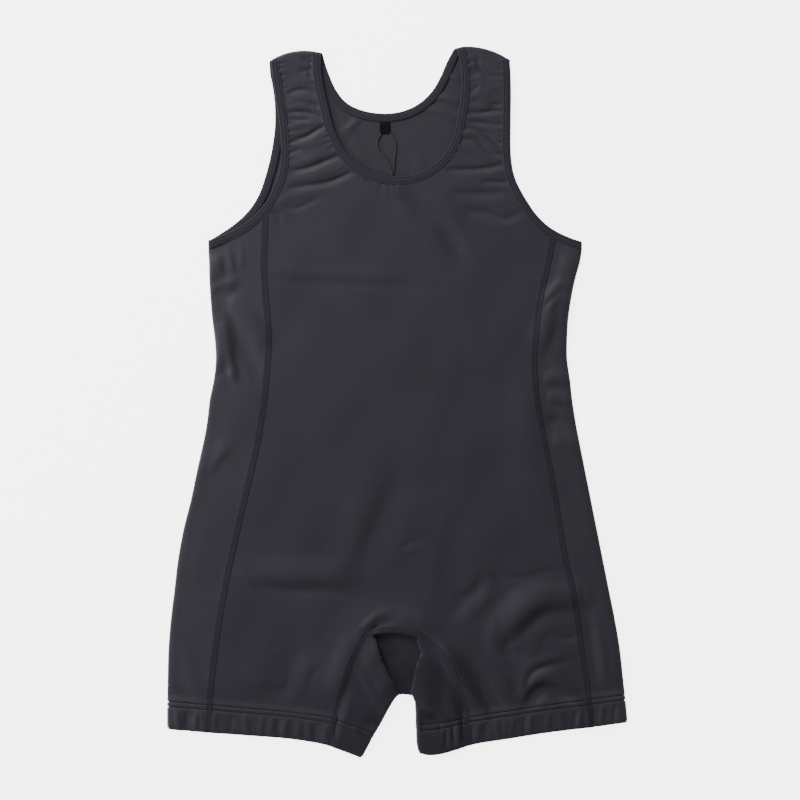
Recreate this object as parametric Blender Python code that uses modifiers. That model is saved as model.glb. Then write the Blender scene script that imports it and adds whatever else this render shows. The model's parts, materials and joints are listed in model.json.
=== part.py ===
"""Weightlifting singlet laid flat on a surface, in the pieces that are cut and sewn.

The garment lies on its back: X runs across it, Y towards the neck, Z up from the surface.
Every table is in millimetres. A piece is laid out as rows of points on its inner face and then
thickened outwards, so the front grows up, the back grows down, and a folded side grows round.
"""
import math

import bmesh
import bpy
from mathutils import Vector

MM = 0.001

# Cloth and seams
WALL = 1.0
SEAM_GAP = 0.3
LAYER_GAP = 0.3
HEM_DEPTH = 28.0
HEM_STEP = 2.0
BACK_HEM_RISE = 1.5
REAR_STRAP_TURN = 12.0

# Bindings: a strip folded double over the raw edge
BAND_WIDTH = 9.5
BAND_THICK = 2.2
BAND_SOFT = 0.8
BAND_GAP = 0.4
BAND_LIFT = 2.4
STRAP_LIFT = 3.6
SHOULDER_LIFT = 4.3
REAR_LIFT = BAND_THICK / 2
NECK_RISE_FROM = 262.0
NECK_RISE_OVER = 50.0

# Ways into the cloth along the folded top of each strap, and at the underarm
NECK_LEFT_WAY = (-0.98, 0.18)
NECK_RIGHT_WAY = (0.96, 0.27)
ARM_LEFT_WAY = (0.86, 0.50)
ARM_RIGHT_WAY = (-0.86, 0.50)
UNDERARM_WAY = (0.0, -1.0)

# Label and hanging loop
LABEL_SIZE = (11.0, 12.0, 1.0)
LABEL_PLACE = (-14.5, 300.9)
LOOP_RADIUS = 0.7
LOOP_PARTS = 30

# Opening edges of the front neck and the two armholes, and the same edges of the back: x, y
NECK_FRONT = (
    (-84.7, 383.6), (-84.4, 364.9), (-82.0, 347.3), (-77.6, 328.6), (-72.6, 307.7),
    (-66.6, 291.2), (-57.2, 274.7), (-45.1, 261.5), (-29.7, 252.7), (-6.6, 247.8),
    (15.4, 249.4), (33.0, 256.6), (47.3, 268.1), (57.2, 282.4), (62.7, 298.9),
    (66.6, 318.7), (69.3, 340.7), (69.3, 362.7), (67.1, 378.1), (63.8, 388.0),
)
NECK_BACK = (
    (-83.1, 383.6), (-79.2, 369.3), (-74.8, 357.2), (-68.2, 342.9), (-58.3, 330.3),
    (-44.0, 322.0), (-25.3, 317.6), (-6.6, 317.3), (11.0, 321.5), (26.4, 330.3),
    (38.5, 342.9), (47.3, 358.3), (53.4, 372.6), (61.6, 388.0),
)
ARM_LEFT_FRONT = (
    (-139.7, 374.8), (-138.1, 359.4), (-135.3, 340.7), (-132.6, 320.9), (-129.8, 301.1),
    (-128.7, 281.3), (-129.2, 261.5), (-133.7, 242.8), (-141.9, 225.2), (-151.8, 210.9),
    (-163.9, 199.4), (-178.2, 190.0), (-193.6, 182.9), (-208.5, 176.6),
)
ARM_LEFT_BACK = (
    (-141.4, 374.8), (-140.8, 361.6), (-137.5, 344.0), (-135.5, 326.4), (-135.3, 304.4),
    (-137.0, 287.9), (-140.2, 269.2), (-144.7, 251.6), (-150.7, 232.9), (-157.9, 218.6),
    (-168.3, 205.4), (-181.5, 193.9), (-194.7, 185.1), (-208.5, 176.6),
)
ARM_RIGHT_FRONT = (
    (122.7, 375.9), (123.8, 359.4), (124.3, 337.4), (124.0, 309.9), (123.8, 282.4),
    (124.9, 263.7), (128.2, 247.2), (134.8, 232.4), (143.0, 218.6), (151.8, 206.0),
    (163.4, 194.4), (176.0, 186.2), (189.2, 180.2), (202.4, 175.6),
)
ARM_RIGHT_BACK = (
    (122.1, 375.9), (122.1, 359.4), (121.0, 337.4), (119.9, 309.9), (119.9, 282.4),
    (121.0, 263.7), (124.3, 247.2), (130.4, 232.9), (138.6, 218.6), (148.5, 205.4),
    (160.6, 193.3), (173.8, 184.5), (188.1, 179.0), (202.4, 175.6),
)

# Folded top of each strap: x, y
STRAP_TOP_LEFT = (
    (-141.4, 373.7), (-132.0, 379.2), (-121.0, 383.6), (-107.8, 385.8), (-94.6, 385.3), (-81.4, 382.5),
)
STRAP_TOP_RIGHT = (
    (122.7, 374.8), (107.8, 383.6), (92.4, 389.1), (79.2, 391.3), (66.0, 390.8), (57.2, 387.8),
)

# Levels down the body: y, left fold, left seam, right seam, right fold
SECTIONS = (
    (172.4, -209.0, -147.2, 168.6, 203.0),
    (153.7, -207.8, -147.7, 165.0, 200.2),
    (133.9, -207.3, -147.1, 160.3, 194.7),
    (111.9, -206.0, -145.5, 155.9, 190.3),
    (89.9, -204.1, -143.4, 152.5, 187.2),
    (67.9, -201.3, -142.6, 150.4, 186.0),
    (45.9, -200.2, -143.4, 149.2, 186.1),
    (23.9, -202.4, -145.4, 150.2, 189.2),
    (1.9, -207.0, -147.4, 152.2, 191.7),
    (-20.1, -209.6, -150.7, 155.8, 195.0),
    (-42.1, -213.4, -154.3, 159.9, 199.1),
    (-75.1, -220.8, -161.4, 166.7, 205.7),
    (-108.1, -227.7, -169.1, 172.5, 212.3),
    (-141.1, -236.0, -176.9, 177.8, 218.9),
    (-174.1, -242.0, -184.3, 183.7, 225.5),
    (-207.1, -245.9, -190.9, 191.4, 232.1),
    (-240.1, -249.9, -196.7, 196.9, 238.7),
    (-273.1, -252.5, -201.3, 201.3, 244.2),
    (-306.1, -253.3, -205.2, 206.8, 247.8),
    (-333.6, -253.8, -207.6, 209.8, 250.8),
    (-363.0, -253.8, -209.0, 211.8, 253.4),
)

# Hem edge of each leg from the outer fold, by the side seam and the gusset, to the inner fold: x, y
HEM_LEFT = (
    (-253.8, -359.4), (-209.0, -363.3), (-162.8, -366.6), (-121.0, -369.9), (-91.3, -374.3),
    (-74.2, -378.1), (-55.0, -384.7), (-39.6, -391.3),
)
HEM_RIGHT = (
    (253.4, -351.7), (211.8, -357.6), (182.6, -361.1), (150.7, -365.5), (124.3, -369.9),
    (95.7, -374.3), (77.6, -377.6), (60.5, -383.1), (45.1, -387.3), (31.9, -388.0), (22.6, -384.7),
)

HEM = {-1: HEM_LEFT, 1: HEM_RIGHT}

# Gusset from the left hem over the crotch to the right hem:
# seam x, seam y, fold x, fold y, height of the cloth midway, height at the fold
GUSSET = (
    (-74.2, -378.1, -39.6, -391.3, 0.0, 0.8),
    (-71.5, -352.3, -27.0, -367.7, 0.3, 1.0),
    (-66.6, -332.5, -18.7, -353.4, 0.6, 1.4),
    (-61.1, -312.7, -11.6, -340.2, 1.0, 2.0),
    (-54.5, -291.8, -6.6, -331.4, 1.4, 3.0),
    (-45.7, -272.0, -3.0, -325.9, 2.2, 4.6),
    (-35.2, -255.5, 0.2, -322.8, 4.2, 6.4),
    (-24.0, -251.4, 2.8, -322.0, 1.2, 3.0),
    (-12.0, -250.2, 6.0, -321.8, 0.2, 0.7),
    (1.1, -250.0, 9.5, -322.0, 0.0, 0.7),
    (13.0, -252.0, 13.0, -322.6, 0.4, 0.9),
    (23.0, -255.4, 16.4, -323.5, 1.6, 3.0),
    (32.5, -262.1, 19.2, -325.6, 4.4, 6.2),
    (41.8, -270.3, 19.0, -332.4, 2.8, 4.6),
    (51.2, -281.9, 19.2, -341.3, 1.8, 3.2),
    (60.5, -298.4, 19.2, -352.3, 1.2, 2.2),
    (68.2, -319.3, 19.8, -363.3, 0.8, 1.6),
    (74.8, -345.7, 20.4, -374.3, 0.4, 1.0),
    (77.6, -377.6, 22.6, -384.7, 0.0, 0.8),
)
GUSSET_CORNER_LEFT = 6
GUSSET_CENTRE = 9
GUSSET_CORNER_RIGHT = 12

# Soft roll of the side folds: y, height at the left fold, height at the right fold
ROLLS = (
    (175.0, 3.9, 3.9),
    (140.0, 4.6, 4.4),
    (60.0, 5.2, 4.8),
    (-60.0, 5.0, 4.6),
    (-200.0, 4.6, 4.4),
    (-363.0, 4.0, 3.8),
)
ROLL_REACH = 24.0

# Spacing of the sections of a binding
BEND_PER_SECTION = math.radians(5.0)
SECTION_SPACING = 12.0
LEAST_SPACING = 3.5

# Folds and gathers of the front layer: name, half width, height, line of points x, y
FOLD_END = 0.35
FOLD_FADE = 0.7
FOLDS = (
    ("neck trough, right bank", 15.0, 2.6, ((24, 240), (44, 209), (66, 178), (86, 154))),
    ("neck trough, left bank", 15.0, 1.8, ((-7, 226), (13, 196), (37, 165), (55, 145))),
    ("chest crease bank", 11.0, 1.5, ((-124, 152), (-75, 145), (-25, 142), (30, 139))),
    ("belly diagonal", 22.0, 1.6, ((-3, -75), (-25, -130), (-40, -180))),
    ("belly upright", 20.0, 1.6, ((65, -108), (54, -174), (54, -231))),
    ("left thigh bank", 15.0, 2.6, ((-168, -184), (-119, -182), (-58, -185))),
    ("left thigh low bank", 14.0, 1.4, ((-174, -231), (-119, -229), (-69, -240))),
    ("right thigh upper bank", 13.0, 2.6, ((185, -205), (147, -211), (117, -229), (101, -255))),
    ("right thigh lower bank", 13.0, 2.6, ((130, -271), (145, -253), (169, -243), (196, -242))),
    ("right hem hump", 11.0, 3.0, ((139, -337), (145, -317), (163, -307), (180, -316), (191, -330))),
    ("gusset side bank", 13.0, 2.6, ((85, -269), (98, -293), (111, -317), (121, -343))),
    ("gusset top bank", 10.0, 1.8, ((-51, -250), (-35, -236), (-13, -232), (13, -235))),
    ("left gusset bank", 12.0, 1.8, ((-83, -332), (-76, -306), (-65, -275))),
    ("left side high fold", 9.0, 2.6, ((-200, 120), (-174, 101), (-154, 66))),
    ("left side low fold", 9.0, 2.0, ((-197, 70), (-187, 50), (-180, 22))),
    ("left side notch", 6.0, 2.2, ((-206, 126), (-191, 132), (-178, 130))),
    ("left underarm pleat a", 4.0, 1.8, ((-194, 165), (-195, 152), (-194, 138))),
    ("left underarm pleat b", 4.0, 1.8, ((-184, 169), (-185, 154), (-184, 143))),
    ("left underarm pleat c", 4.0, 1.6, ((-174, 172), (-174, 158), (-170, 147))),
    ("right underarm pleat", 8.0, 2.2, ((191, 166), (191, 152), (188, 138))),
    ("right side high fold", 7.0, 2.2, ((190, 121), (176, 115), (162, 108))),
    ("right side slant", 8.0, 1.8, ((189, 92), (179, 70), (165, 48))),
    ("right side low fold", 9.0, 2.0, ((188, 0), (174, 2), (160, 0))),
    ("right side hip fold", 9.0, 1.8, ((196, -42), (180, -40), (164, -43))),
    ("left strap 1", 4.2, 1.3, ((-127, 365), (-112, 368), (-99, 369))),
    ("left strap 2", 4.6, 1.6, ((-124, 350), (-110, 354), (-97, 357))),
    ("left strap 3", 4.2, 1.9, ((-121, 328), (-108, 332), (-92, 333))),
    ("left strap 4", 3.4, 1.4, ((-118, 316), (-103, 315), (-89, 316))),
    ("left strap 5", 4.8, 2.1, ((-116, 301), (-101, 306), (-86, 309))),
    ("left strap 6", 5.2, 1.7, ((-115, 281), (-99, 287), (-80, 292))),
    ("left strap 7", 5.2, 1.8, ((-115, 265), (-95, 271), (-74, 279))),
    ("left strap 8", 5.6, 2.1, ((-115, 246), (-91, 253), (-64, 263))),
    ("left strap 9", 6.0, 1.9, ((-121, 227), (-97, 232), (-66, 238))),
    ("left strap 10", 6.0, 1.5, ((-133, 206), (-112, 203), (-75, 204))),
    ("right strap 1", 4.0, 1.3, ((83, 373), (96, 372), (110, 369))),
    ("right strap 2", 4.2, 1.5, ((83, 356), (96, 355), (110, 353))),
    ("right strap 3", 3.6, 1.3, ((83, 342), (96, 342), (110, 341))),
    ("right strap 4", 3.4, 1.4, ((83, 333), (96, 332), (110, 331))),
    ("right strap 5", 3.6, 1.7, ((82, 324), (96, 325), (110, 325))),
    ("right strap 6", 3.6, 1.8, ((81, 313), (96, 314), (110, 315))),
    ("right strap 7", 4.4, 2.2, ((83, 304), (97, 299), (110, 294))),
    ("right strap 8", 3.4, 1.6, ((76, 296), (90, 288), (109, 279))),
    ("right strap 9", 5.2, 2.1, ((73, 280), (90, 274), (110, 269))),
    ("right strap 10", 4.6, 1.8, ((68, 256), (92, 254), (111, 254))),
    ("right strap 11", 4.6, 1.9, ((66, 240), (96, 240), (117, 238))),
    ("right strap 12", 6.0, 1.9, ((60, 221), (96, 222), (124, 221))),
    ("right strap 13", 6.6, 1.6, ((79, 198), (112, 199), (139, 198))),
)

# Hanging loop from under the label down to the front neck: x, y
HANGING_LOOP = (
    (-18.6, 293.6), (-22.6, 286.0), (-21.0, 276.0), (-13.0, 266.0), (-8.0, 256.0),
    (-6.0, 250.2), (-4.6, 256.0), (-4.0, 266.0), (-2.8, 277.0), (-3.2, 285.0), (-8.4, 293.6),
)

# Rows along each stretch of a piece, and columns across it
ROWS_LEG = 9
ROWS_CROTCH = 3
ROWS_BODY = 28
ROWS_CHEST = 4
ROWS_YOKE = 9
ROWS_STRAP = 38
ROWS_BACK_YOKE = 8
ROWS_BACK_STRAP = 20
ROWS_HEM = 3
STEPS_TURN = 5
COLUMNS_FRONT = 11
COLUMNS_SIDE = 5
COLUMNS_ROLL = 4
COLUMNS_REAR = 6
EDGE_POINTS = 80
CURVE_PARTS = 10

# Where one stretch ends and the next begins: levels y, and distances up the armhole
LEG_TOP = -256.0
BODY_BOTTOM = -240.0
REAR_SEAM_PARTS = 90.0
BODY_TOP = 150.0
CENTRE_TOP = 205.0
YOKE_FRONT = 42.0
YOKE_BACK = 62.0

# How far an edge's own curve or height is felt inside the cloth
TURN_REACH = 24.0
HEM_REACH = 60.0
STRAP_TOP_REACH = 50.0
UNDERARM_REACH = 40.0
BAND_REACH = 30.0
BAND_EASE = 1.0
SHOULDER_FLAT = 6.0
GUSSET_REACH = 40.0
FOLD_SEARCH_X = 170.0
FOLD_SEARCH_Y = 130.0

# Levels of the inner faces
REST_LEVEL = WALL + LAYER_GAP
SHOULDER_LEVEL = SHOULDER_LIFT - WALL / 2
SHOULDER_RADIUS = (SHOULDER_LEVEL - WALL) / 2
LEAST_RADIUS = 0.45
UP = Vector((0, 0, 1))


def blend(a, b, share):
    """The point a share of the way from a to b."""
    return tuple(p + (q - p) * share for p, q in zip(a, b))


def ease(share):
    """0 to 1 with soft ends."""
    share = min(max(share, 0.0), 1.0)
    return share * share * (3.0 - 2.0 * share)


def lengths(line):
    """Distance from the first point of a line to each of its points, seen from above."""
    run = [0.0]
    for a, b in zip(line, line[1:]):
        run.append(run[-1] + math.dist(a[:2], b[:2]))
    return run


def at_length(line, run, distance):
    """The point of a line at a distance from its start."""
    for i in range(len(line) - 1):
        if distance <= run[i + 1] or i == len(line) - 2:
            span = run[i + 1] - run[i]
            return blend(line[i], line[i + 1], (distance - run[i]) / span if span else 0.0)


def spaced(line, count):
    """The line again as count + 1 evenly spaced points."""
    run = lengths(line)
    return [at_length(line, run, run[-1] * i / count) for i in range(count + 1)]


def smooth_line(line):
    """A smooth line through the points of a table."""
    result = []
    last = len(line) - 1
    for i in range(last):
        before = line[max(i - 1, 0)]
        after = line[min(i + 2, last)]
        for k in range(CURVE_PARTS):
            t = k / CURVE_PARTS
            point = []
            for p, a, b, n in zip(before, line[i], line[i + 1], after):
                bend = 2 * p - 5 * a + 4 * b - n
                twist = 3 * a - p - 3 * b + n
                point.append(0.5 * (2 * a + (b - p) * t + bend * t * t + twist * t ** 3))
            result.append(tuple(point))
    result.append(tuple(line[last]))
    return result


def cut(line, start, end, axis=1):
    """The stretch of a line between two values of y (axis 1) or x (axis 0), in rising order."""
    low = min(start, end)
    high = max(start, end)
    result = [point for point in line if low <= point[axis] <= high]
    for a, b in zip(line, line[1:]):
        for level in (low, high):
            if (a[axis] - level) * (b[axis] - level) < 0:
                result.append(blend(a, b, (level - a[axis]) / (b[axis] - a[axis])))
    result.sort(key=lambda point: point[axis])
    return result


def moved(line, distance):
    """A line moved sideways, to its left for a positive distance."""
    result = []
    for i, (x, y) in enumerate(line):
        a = line[max(i - 1, 0)]
        b = line[min(i + 1, len(line) - 1)]
        share = distance / math.dist(a, b)
        result.append((x - (b[1] - a[1]) * share, y + (b[0] - a[0]) * share))
    return result


def nearest(line, x, y):
    """Distance from a place to a line, and the share of the line where that is."""
    best = math.inf
    place_on_line = 0.0
    for i, (a, b) in enumerate(zip(line, line[1:])):
        dx = b[0] - a[0]
        dy = b[1] - a[1]
        t = ((x - a[0]) * dx + (y - a[1]) * dy) / (dx * dx + dy * dy)
        t = min(max(t, 0.0), 1.0)
        distance = math.hypot(x - a[0] - dx * t, y - a[1] - dy * t)
        if distance < best:
            best = distance
            place_on_line = (i + t) / (len(line) - 1)
    return best, place_on_line


def edge_with_inward(line, side, start_way, end_way):
    """Points of an opening edge, each with the way into the cloth, square to the folds at its ends."""
    line = spaced(smooth_line(line), EDGE_POINTS)
    run = lengths(line)
    result = []
    for i, point in enumerate(line):
        a = line[max(i - 1, 0)]
        b = line[min(i + 1, len(line) - 1)]
        length = math.dist(a, b)
        way = (-(b[1] - a[1]) / length * side, (b[0] - a[0]) / length * side)
        way = blend(start_way, way, ease(run[i] / TURN_REACH))
        way = blend(end_way, way, ease((run[-1] - run[i]) / TURN_REACH))
        size = math.hypot(*way)
        result.append((point[0], point[1], way[0] / size, way[1] / size))
    return result


def cloth_edge(edge):
    """Where the cloth stops beside a binding."""
    reach = BAND_WIDTH + BAND_GAP
    return [(x + wx * reach, y + wy * reach) for x, y, wx, wy in edge]


# Edges that the bindings and the cloth share
neck_front = edge_with_inward(NECK_FRONT, -1, NECK_LEFT_WAY, NECK_RIGHT_WAY)
neck_back = edge_with_inward(NECK_BACK, -1, NECK_LEFT_WAY, NECK_RIGHT_WAY)
arm_front = {
    -1: edge_with_inward(ARM_LEFT_FRONT, 1, ARM_LEFT_WAY, UNDERARM_WAY),
    1: edge_with_inward(ARM_RIGHT_FRONT, -1, ARM_RIGHT_WAY, UNDERARM_WAY),
}
arm_back = {
    -1: edge_with_inward(ARM_LEFT_BACK, 1, ARM_LEFT_WAY, UNDERARM_WAY),
    1: edge_with_inward(ARM_RIGHT_BACK, -1, ARM_RIGHT_WAY, UNDERARM_WAY),
}
strap_top = {-1: smooth_line(STRAP_TOP_LEFT), 1: smooth_line(STRAP_TOP_RIGHT)}
lifted_lines = (
    ([point[:2] for point in neck_front], BAND_LIFT),
    ([point[:2] for point in arm_front[-1]], STRAP_LIFT),
    ([point[:2] for point in arm_front[1]], STRAP_LIFT),
)


def near_strap_top(x, y):
    """1 at the folded top of a strap, 0 well below it."""
    distance = min(nearest(line, x, y)[0] for line in strap_top.values())
    return 1 - ease((distance - SHOULDER_FLAT) / TURN_REACH)


def band_level(x, y, base):
    """Mid height of a front binding: raised where it lies on the back one and round the shoulder."""
    level = base + (STRAP_LIFT - base) * ease((y - NECK_RISE_FROM) / NECK_RISE_OVER)
    return max(level, STRAP_LIFT + (SHOULDER_LIFT - STRAP_LIFT) * near_strap_top(x, y))


def folds_at(x, y):
    """Height that the folds and gathers add."""
    lift = 0.0
    for _, half_width, height, line in FOLDS:
        if abs(x - line[0][0]) > FOLD_SEARCH_X or abs(y - line[0][1]) > FOLD_SEARCH_Y:
            continue
        distance, share = nearest(line, x, y)
        if distance < half_width:
            across = (1 - (distance / half_width) ** 2) ** 2
            fade = FOLD_END + (1 - FOLD_END) * math.sin(math.pi * share) ** FOLD_FADE
            lift += height * across * fade
    return lift


def front_level(x, y):
    """Height of the inner face of the front layer with its folds."""
    level = REST_LEVEL
    for line, base in lifted_lines:
        share = 1 - ease((nearest(line, x, y)[0] - BAND_WIDTH - BAND_EASE) / BAND_REACH)
        if share > 0:
            level = max(level, REST_LEVEL + share * (band_level(x, y, base) - WALL / 2 - REST_LEVEL))
    level = max(level, REST_LEVEL + near_strap_top(x, y) * (SHOULDER_LEVEL - REST_LEVEL))
    return level + folds_at(x, y)


def roll_level(y, side):
    """Height of the soft roll at a side fold."""
    column = 1 if side < 0 else 2
    for high, low in zip(ROLLS, ROLLS[1:]):
        if y >= low[0]:
            share = ease((y - low[0]) / (high[0] - low[0]))
            return low[column] + (high[column] - low[column]) * share
    return ROLLS[-1][column]


def finish(name, red, green, blue, rough):
    """A cloth surface for one piece."""
    made = bpy.data.materials.new(name)
    made.use_nodes = True
    surface = made.node_tree.nodes["Principled BSDF"]
    surface.inputs["Base Color"].default_value = (red, green, blue, 1.0)
    surface.inputs["Roughness"].default_value = rough
    made.diffuse_color = (red, green, blue, 1.0)
    return made


def place(name, form, material):
    """Give a form its object and put it in the garment's collection."""
    mesh = bpy.data.meshes.new(name)
    form.to_mesh(mesh)
    form.free()
    mesh.materials.append(material)
    piece = bpy.data.objects.new(name, mesh)
    garment.objects.link(piece)
    return piece


def sewn_piece(name, grids, material):
    """One cut piece: rows of points on its inner face, thickened outwards, double at the hem."""
    form = bmesh.new()
    hem = form.verts.layers.deform.verify()
    for rows, flip in grids:
        lines = []
        for row in rows:
            line = []
            for x, y, z, double in row:
                corner = form.verts.new((x * MM, y * MM, z * MM))
                corner[hem][0] = double
                line.append(corner)
            lines.append(line)
        for low, high in zip(lines, lines[1:]):
            for i in range(len(low) - 1):
                face = [low[i], low[i + 1], high[i + 1], high[i]]
                form.faces.new(face[::-1] if flip else face)
    bmesh.ops.remove_doubles(form, verts=form.verts, dist=1e-6)
    piece = place(name, form, material)
    piece.vertex_groups.new(name="hem")
    wall = piece.modifiers.new("wall", "SOLIDIFY")
    wall.thickness = 2 * WALL * MM
    wall.offset = 1.0
    wall.vertex_group = "hem"
    wall.thickness_vertex_group = 0.5
    return piece


def closed_strip(name, rings, material):
    """A strip through its sections, joined end to end."""
    form = bmesh.new()
    loops = [[form.verts.new(point * MM) for point in section] for section in rings]
    for low, high in zip(loops, loops[1:] + loops[:1]):
        for k in range(len(low)):
            n = (k + 1) % len(low)
            form.faces.new((low[k], low[n], high[n], high[k]))
    bmesh.ops.recalc_face_normals(form, faces=form.faces)
    return place(name, form, material)


def band_section(centre, across, up):
    """Rounded section of a binding, with its width along across and its thickness along up."""
    half = BAND_WIDTH / 2
    high = BAND_THICK / 2
    outline = (
        (-half, -high + BAND_SOFT), (-half + BAND_SOFT, -high),
        (half - BAND_SOFT, -high), (half, -high + BAND_SOFT),
        (half, high - BAND_SOFT), (half - BAND_SOFT, high),
        (-half + BAND_SOFT, high), (-half, high - BAND_SOFT),
    )
    return [centre + across * a + up * b for a, b in outline]


def bend_stations(line, start, end):
    """Distances along a line, close together where it bends and far apart where it is straight."""
    run = lengths(line)
    marks = [start]
    turned = 0.0
    for i in range(1, len(line) - 1):
        a = math.atan2(line[i][1] - line[i - 1][1], line[i][0] - line[i - 1][0])
        b = math.atan2(line[i + 1][1] - line[i][1], line[i + 1][0] - line[i][0])
        turned += abs((b - a + math.pi) % math.tau - math.pi)
        clear = run[i] - marks[-1] > LEAST_SPACING and end - run[i] > LEAST_SPACING
        if clear and (turned > BEND_PER_SECTION or run[i] - marks[-1] > SECTION_SPACING):
            marks.append(run[i])
            turned = 0.0
    marks.append(end)
    return marks


def band_stations(line, base):
    """Centre, way across and way up for each section on the front (with a base) or the back."""
    run = lengths(line)
    trim = SHOULDER_LIFT / 2 - REAR_LIFT / 2 + BAND_THICK / 2
    result = []
    for distance in bend_stations(line, trim, run[-1] - trim):
        x, y, wx, wy = at_length(line, run, distance)
        level = REAR_LIFT
        if base is not None:
            level = band_level(x, y, base)
            from_end = min(distance, run[-1] - distance)
            level += (SHOULDER_LIFT - level) * (1 - ease((from_end - SHOULDER_FLAT) / TURN_REACH))
        way = Vector((wx, wy, 0)).normalized()
        centre = Vector((x, y, level)) + way * (BAND_WIDTH / 2)
        result.append((centre, way, UP if base is not None else -UP))
    return result


def turn_over(last, first):
    """Sections of a binding round the fold between its front and its back."""
    ahead = last[1][0] - last[0][0]
    ahead.z = 0
    ahead = (ahead - last[1][1] * ahead.dot(last[1][1])).normalized()
    radius = (last[1][0].z - first[0][0].z) / 2
    result = []
    for k in range(1, STEPS_TURN):
        angle = math.pi * k / STEPS_TURN
        share = k / STEPS_TURN
        centre = last[1][0].lerp(first[0][0], share)
        centre.z = first[0][0].z + radius + radius * math.cos(angle)
        centre += ahead * (abs(radius) * math.sin(angle))
        up = ahead * math.sin(angle) + UP * math.copysign(math.cos(angle), radius * math.cos(angle))
        result.append((centre, last[1][1].lerp(first[0][1], share).normalized(), up))
    return result


def binding(name, front, rear, base, material):
    """A binding that runs along the front edge, turns over the fold and comes back behind."""
    front_side = band_stations(front, base)
    rear_side = band_stations(rear[::-1], None)
    stations = front_side + turn_over(front_side[-2:], rear_side[:2])
    stations += rear_side + turn_over(rear_side[-2:], front_side[:2])
    return closed_strip(name, [band_section(*station) for station in stations], material)


def leg_marks(length):
    """Distances up a leg's seam: rows in the hem, one just above its stitching, then even ones."""
    marks = [0.0, HEM_DEPTH / 2, HEM_DEPTH, HEM_DEPTH + HEM_STEP]
    rest = length - marks[-1]
    return marks + [marks[-1] + rest * (i + 1) / ROWS_LEG for i in range(ROWS_LEG)]


def leg_points(line):
    """Points up a leg's seam or fold at its marks."""
    run = lengths(line)
    return [at_length(line, run, mark) for mark in leg_marks(run[-1])]


def body_line(column):
    """A smooth line up the body through one column of the levels."""
    return smooth_line([(row[column], row[0]) for row in SECTIONS][::-1])


def seam_top(line, arm_edge):
    """Where a side seam runs into the edge beside the armhole binding."""
    end = line[-1]
    before = line[-4]
    slope = (end[0] - before[0]) / (end[1] - before[1])
    for a, b in zip(arm_edge, arm_edge[1:]):
        aside_a = a[0] - end[0] - (a[1] - end[1]) * slope
        aside_b = b[0] - end[0] - (b[1] - end[1]) * slope
        if aside_a * aside_b <= 0 and a[1] < end[1] + REAR_SEAM_PARTS:
            return blend(a, b, aside_a / (aside_a - aside_b))
    return end


def seam_stations(side):
    """Stations up a side seam, in stretches: leg, beside the crotch, body and chest."""
    hem = HEM[side][1]
    line = [point for point in body_line(2 if side < 0 else 3) if point[1] > hem[1] + 1.0]
    line.insert(0, hem)
    top = seam_top(line, cloth_edge(arm_front[side]))
    line = [point for point in line if point[1] < top[1] - 1.0] + [top]
    stations = leg_points(cut(line, hem[1], LEG_TOP))
    stations += spaced(cut(line, LEG_TOP, BODY_BOTTOM), ROWS_CROTCH)[1:]
    stations += spaced(cut(line, BODY_BOTTOM, BODY_TOP), ROWS_BODY)[1:]
    stations += spaced(cut(line, BODY_TOP, top[1]), ROWS_CHEST)[1:]
    return stations


def rear_stations(front, side):
    """The rear seam follows the front one and ends at the back armhole."""
    low = [point for point in front if point[1] < REAR_SEAM_PARTS]
    rest = len(front) - len(low)
    top = seam_top(front[:-1], cloth_edge(arm_back[side]))
    return low + [blend(low[-1], top, (i + 1) / rest) for i in range(rest)]


def fold_stations(side, stations):
    """Stations up a side fold, one beside each station of its seam."""
    hem = HEM[side][0]
    end = cloth_edge(arm_front[side])[-1]
    line = [point for point in body_line(1 if side < 0 else 4) if hem[1] + 1 < point[1] < end[1] - 1]
    line = [hem] + line + [end]
    legs = leg_points(cut(line, hem[1], LEG_TOP))
    high = cut(line, LEG_TOP, end[1])
    run = lengths(high)
    seam_run = lengths(stations)
    base = seam_run[len(legs) - 1]
    scale = run[-1] / (seam_run[-1] - base)
    return legs + [at_length(high, run, (mark - base) * scale) for mark in seam_run[len(legs):]]


def crotch_stations(side):
    """Sections of the gusset from one hem to its middle, matching the rows of the leg beside it."""
    line = smooth_line(GUSSET)
    corner = (GUSSET_CORNER_LEFT if side < 0 else GUSSET_CORNER_RIGHT) * CURVE_PARTS
    centre = GUSSET_CENTRE * CURVE_PARTS
    if side < 0:
        leg = line[:corner + 1]
        over = line[corner:centre + 1]
    else:
        leg = line[corner:][::-1]
        over = line[centre:corner + 1][::-1]
    return leg_points(leg) + spaced(over, ROWS_CROTCH)[1:]


def row_points(start, end, columns, bow=None, share=0.0):
    """Points across a row, bent by a share of the bow of a neighbouring edge."""
    result = []
    for i in range(columns + 1):
        x, y = blend(start, end, i / columns)
        if bow is not None:
            chord = blend(bow[0], bow[-1], i / columns)
            x += (bow[i][0] - chord[0]) * share
            y += (bow[i][1] - chord[1]) * share
        result.append((x, y))
    return result


def double_at(index):
    """1 in the turned hem, where the cloth is double."""
    return 1.0 if index < ROWS_HEM else 0.0


def outer_from(arm_edge, seam_end):
    """The cloth edge beside an armhole from the seam up to the top of the strap."""
    line = [point for point in arm_edge if point[1] > seam_end[1]]
    line.sort(key=lambda point: point[1])
    return [seam_end] + line


def panel_rails(side, seam, necks, arm_edge):
    """Outer and inner lines of half a panel, row by row, then the lines of its strap."""
    half = SEAM_GAP / 2
    crotch = [point[:2] for point in crotch_stations(side)]
    outer = moved(seam, side * half)
    inner = moved(crotch, -side * half)
    inner[-1] = (crotch[-1][0], crotch[-1][1] + half)
    share = (CENTRE_TOP - inner[-1][1]) / (necks[0][1] - inner[-1][1])
    centre = blend(inner[-1], necks[0], share)
    inner += spaced([inner[-1], centre], ROWS_BODY + ROWS_CHEST)[1:]
    return outer, inner, outer_from(arm_edge, outer[-1]), centre


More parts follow.
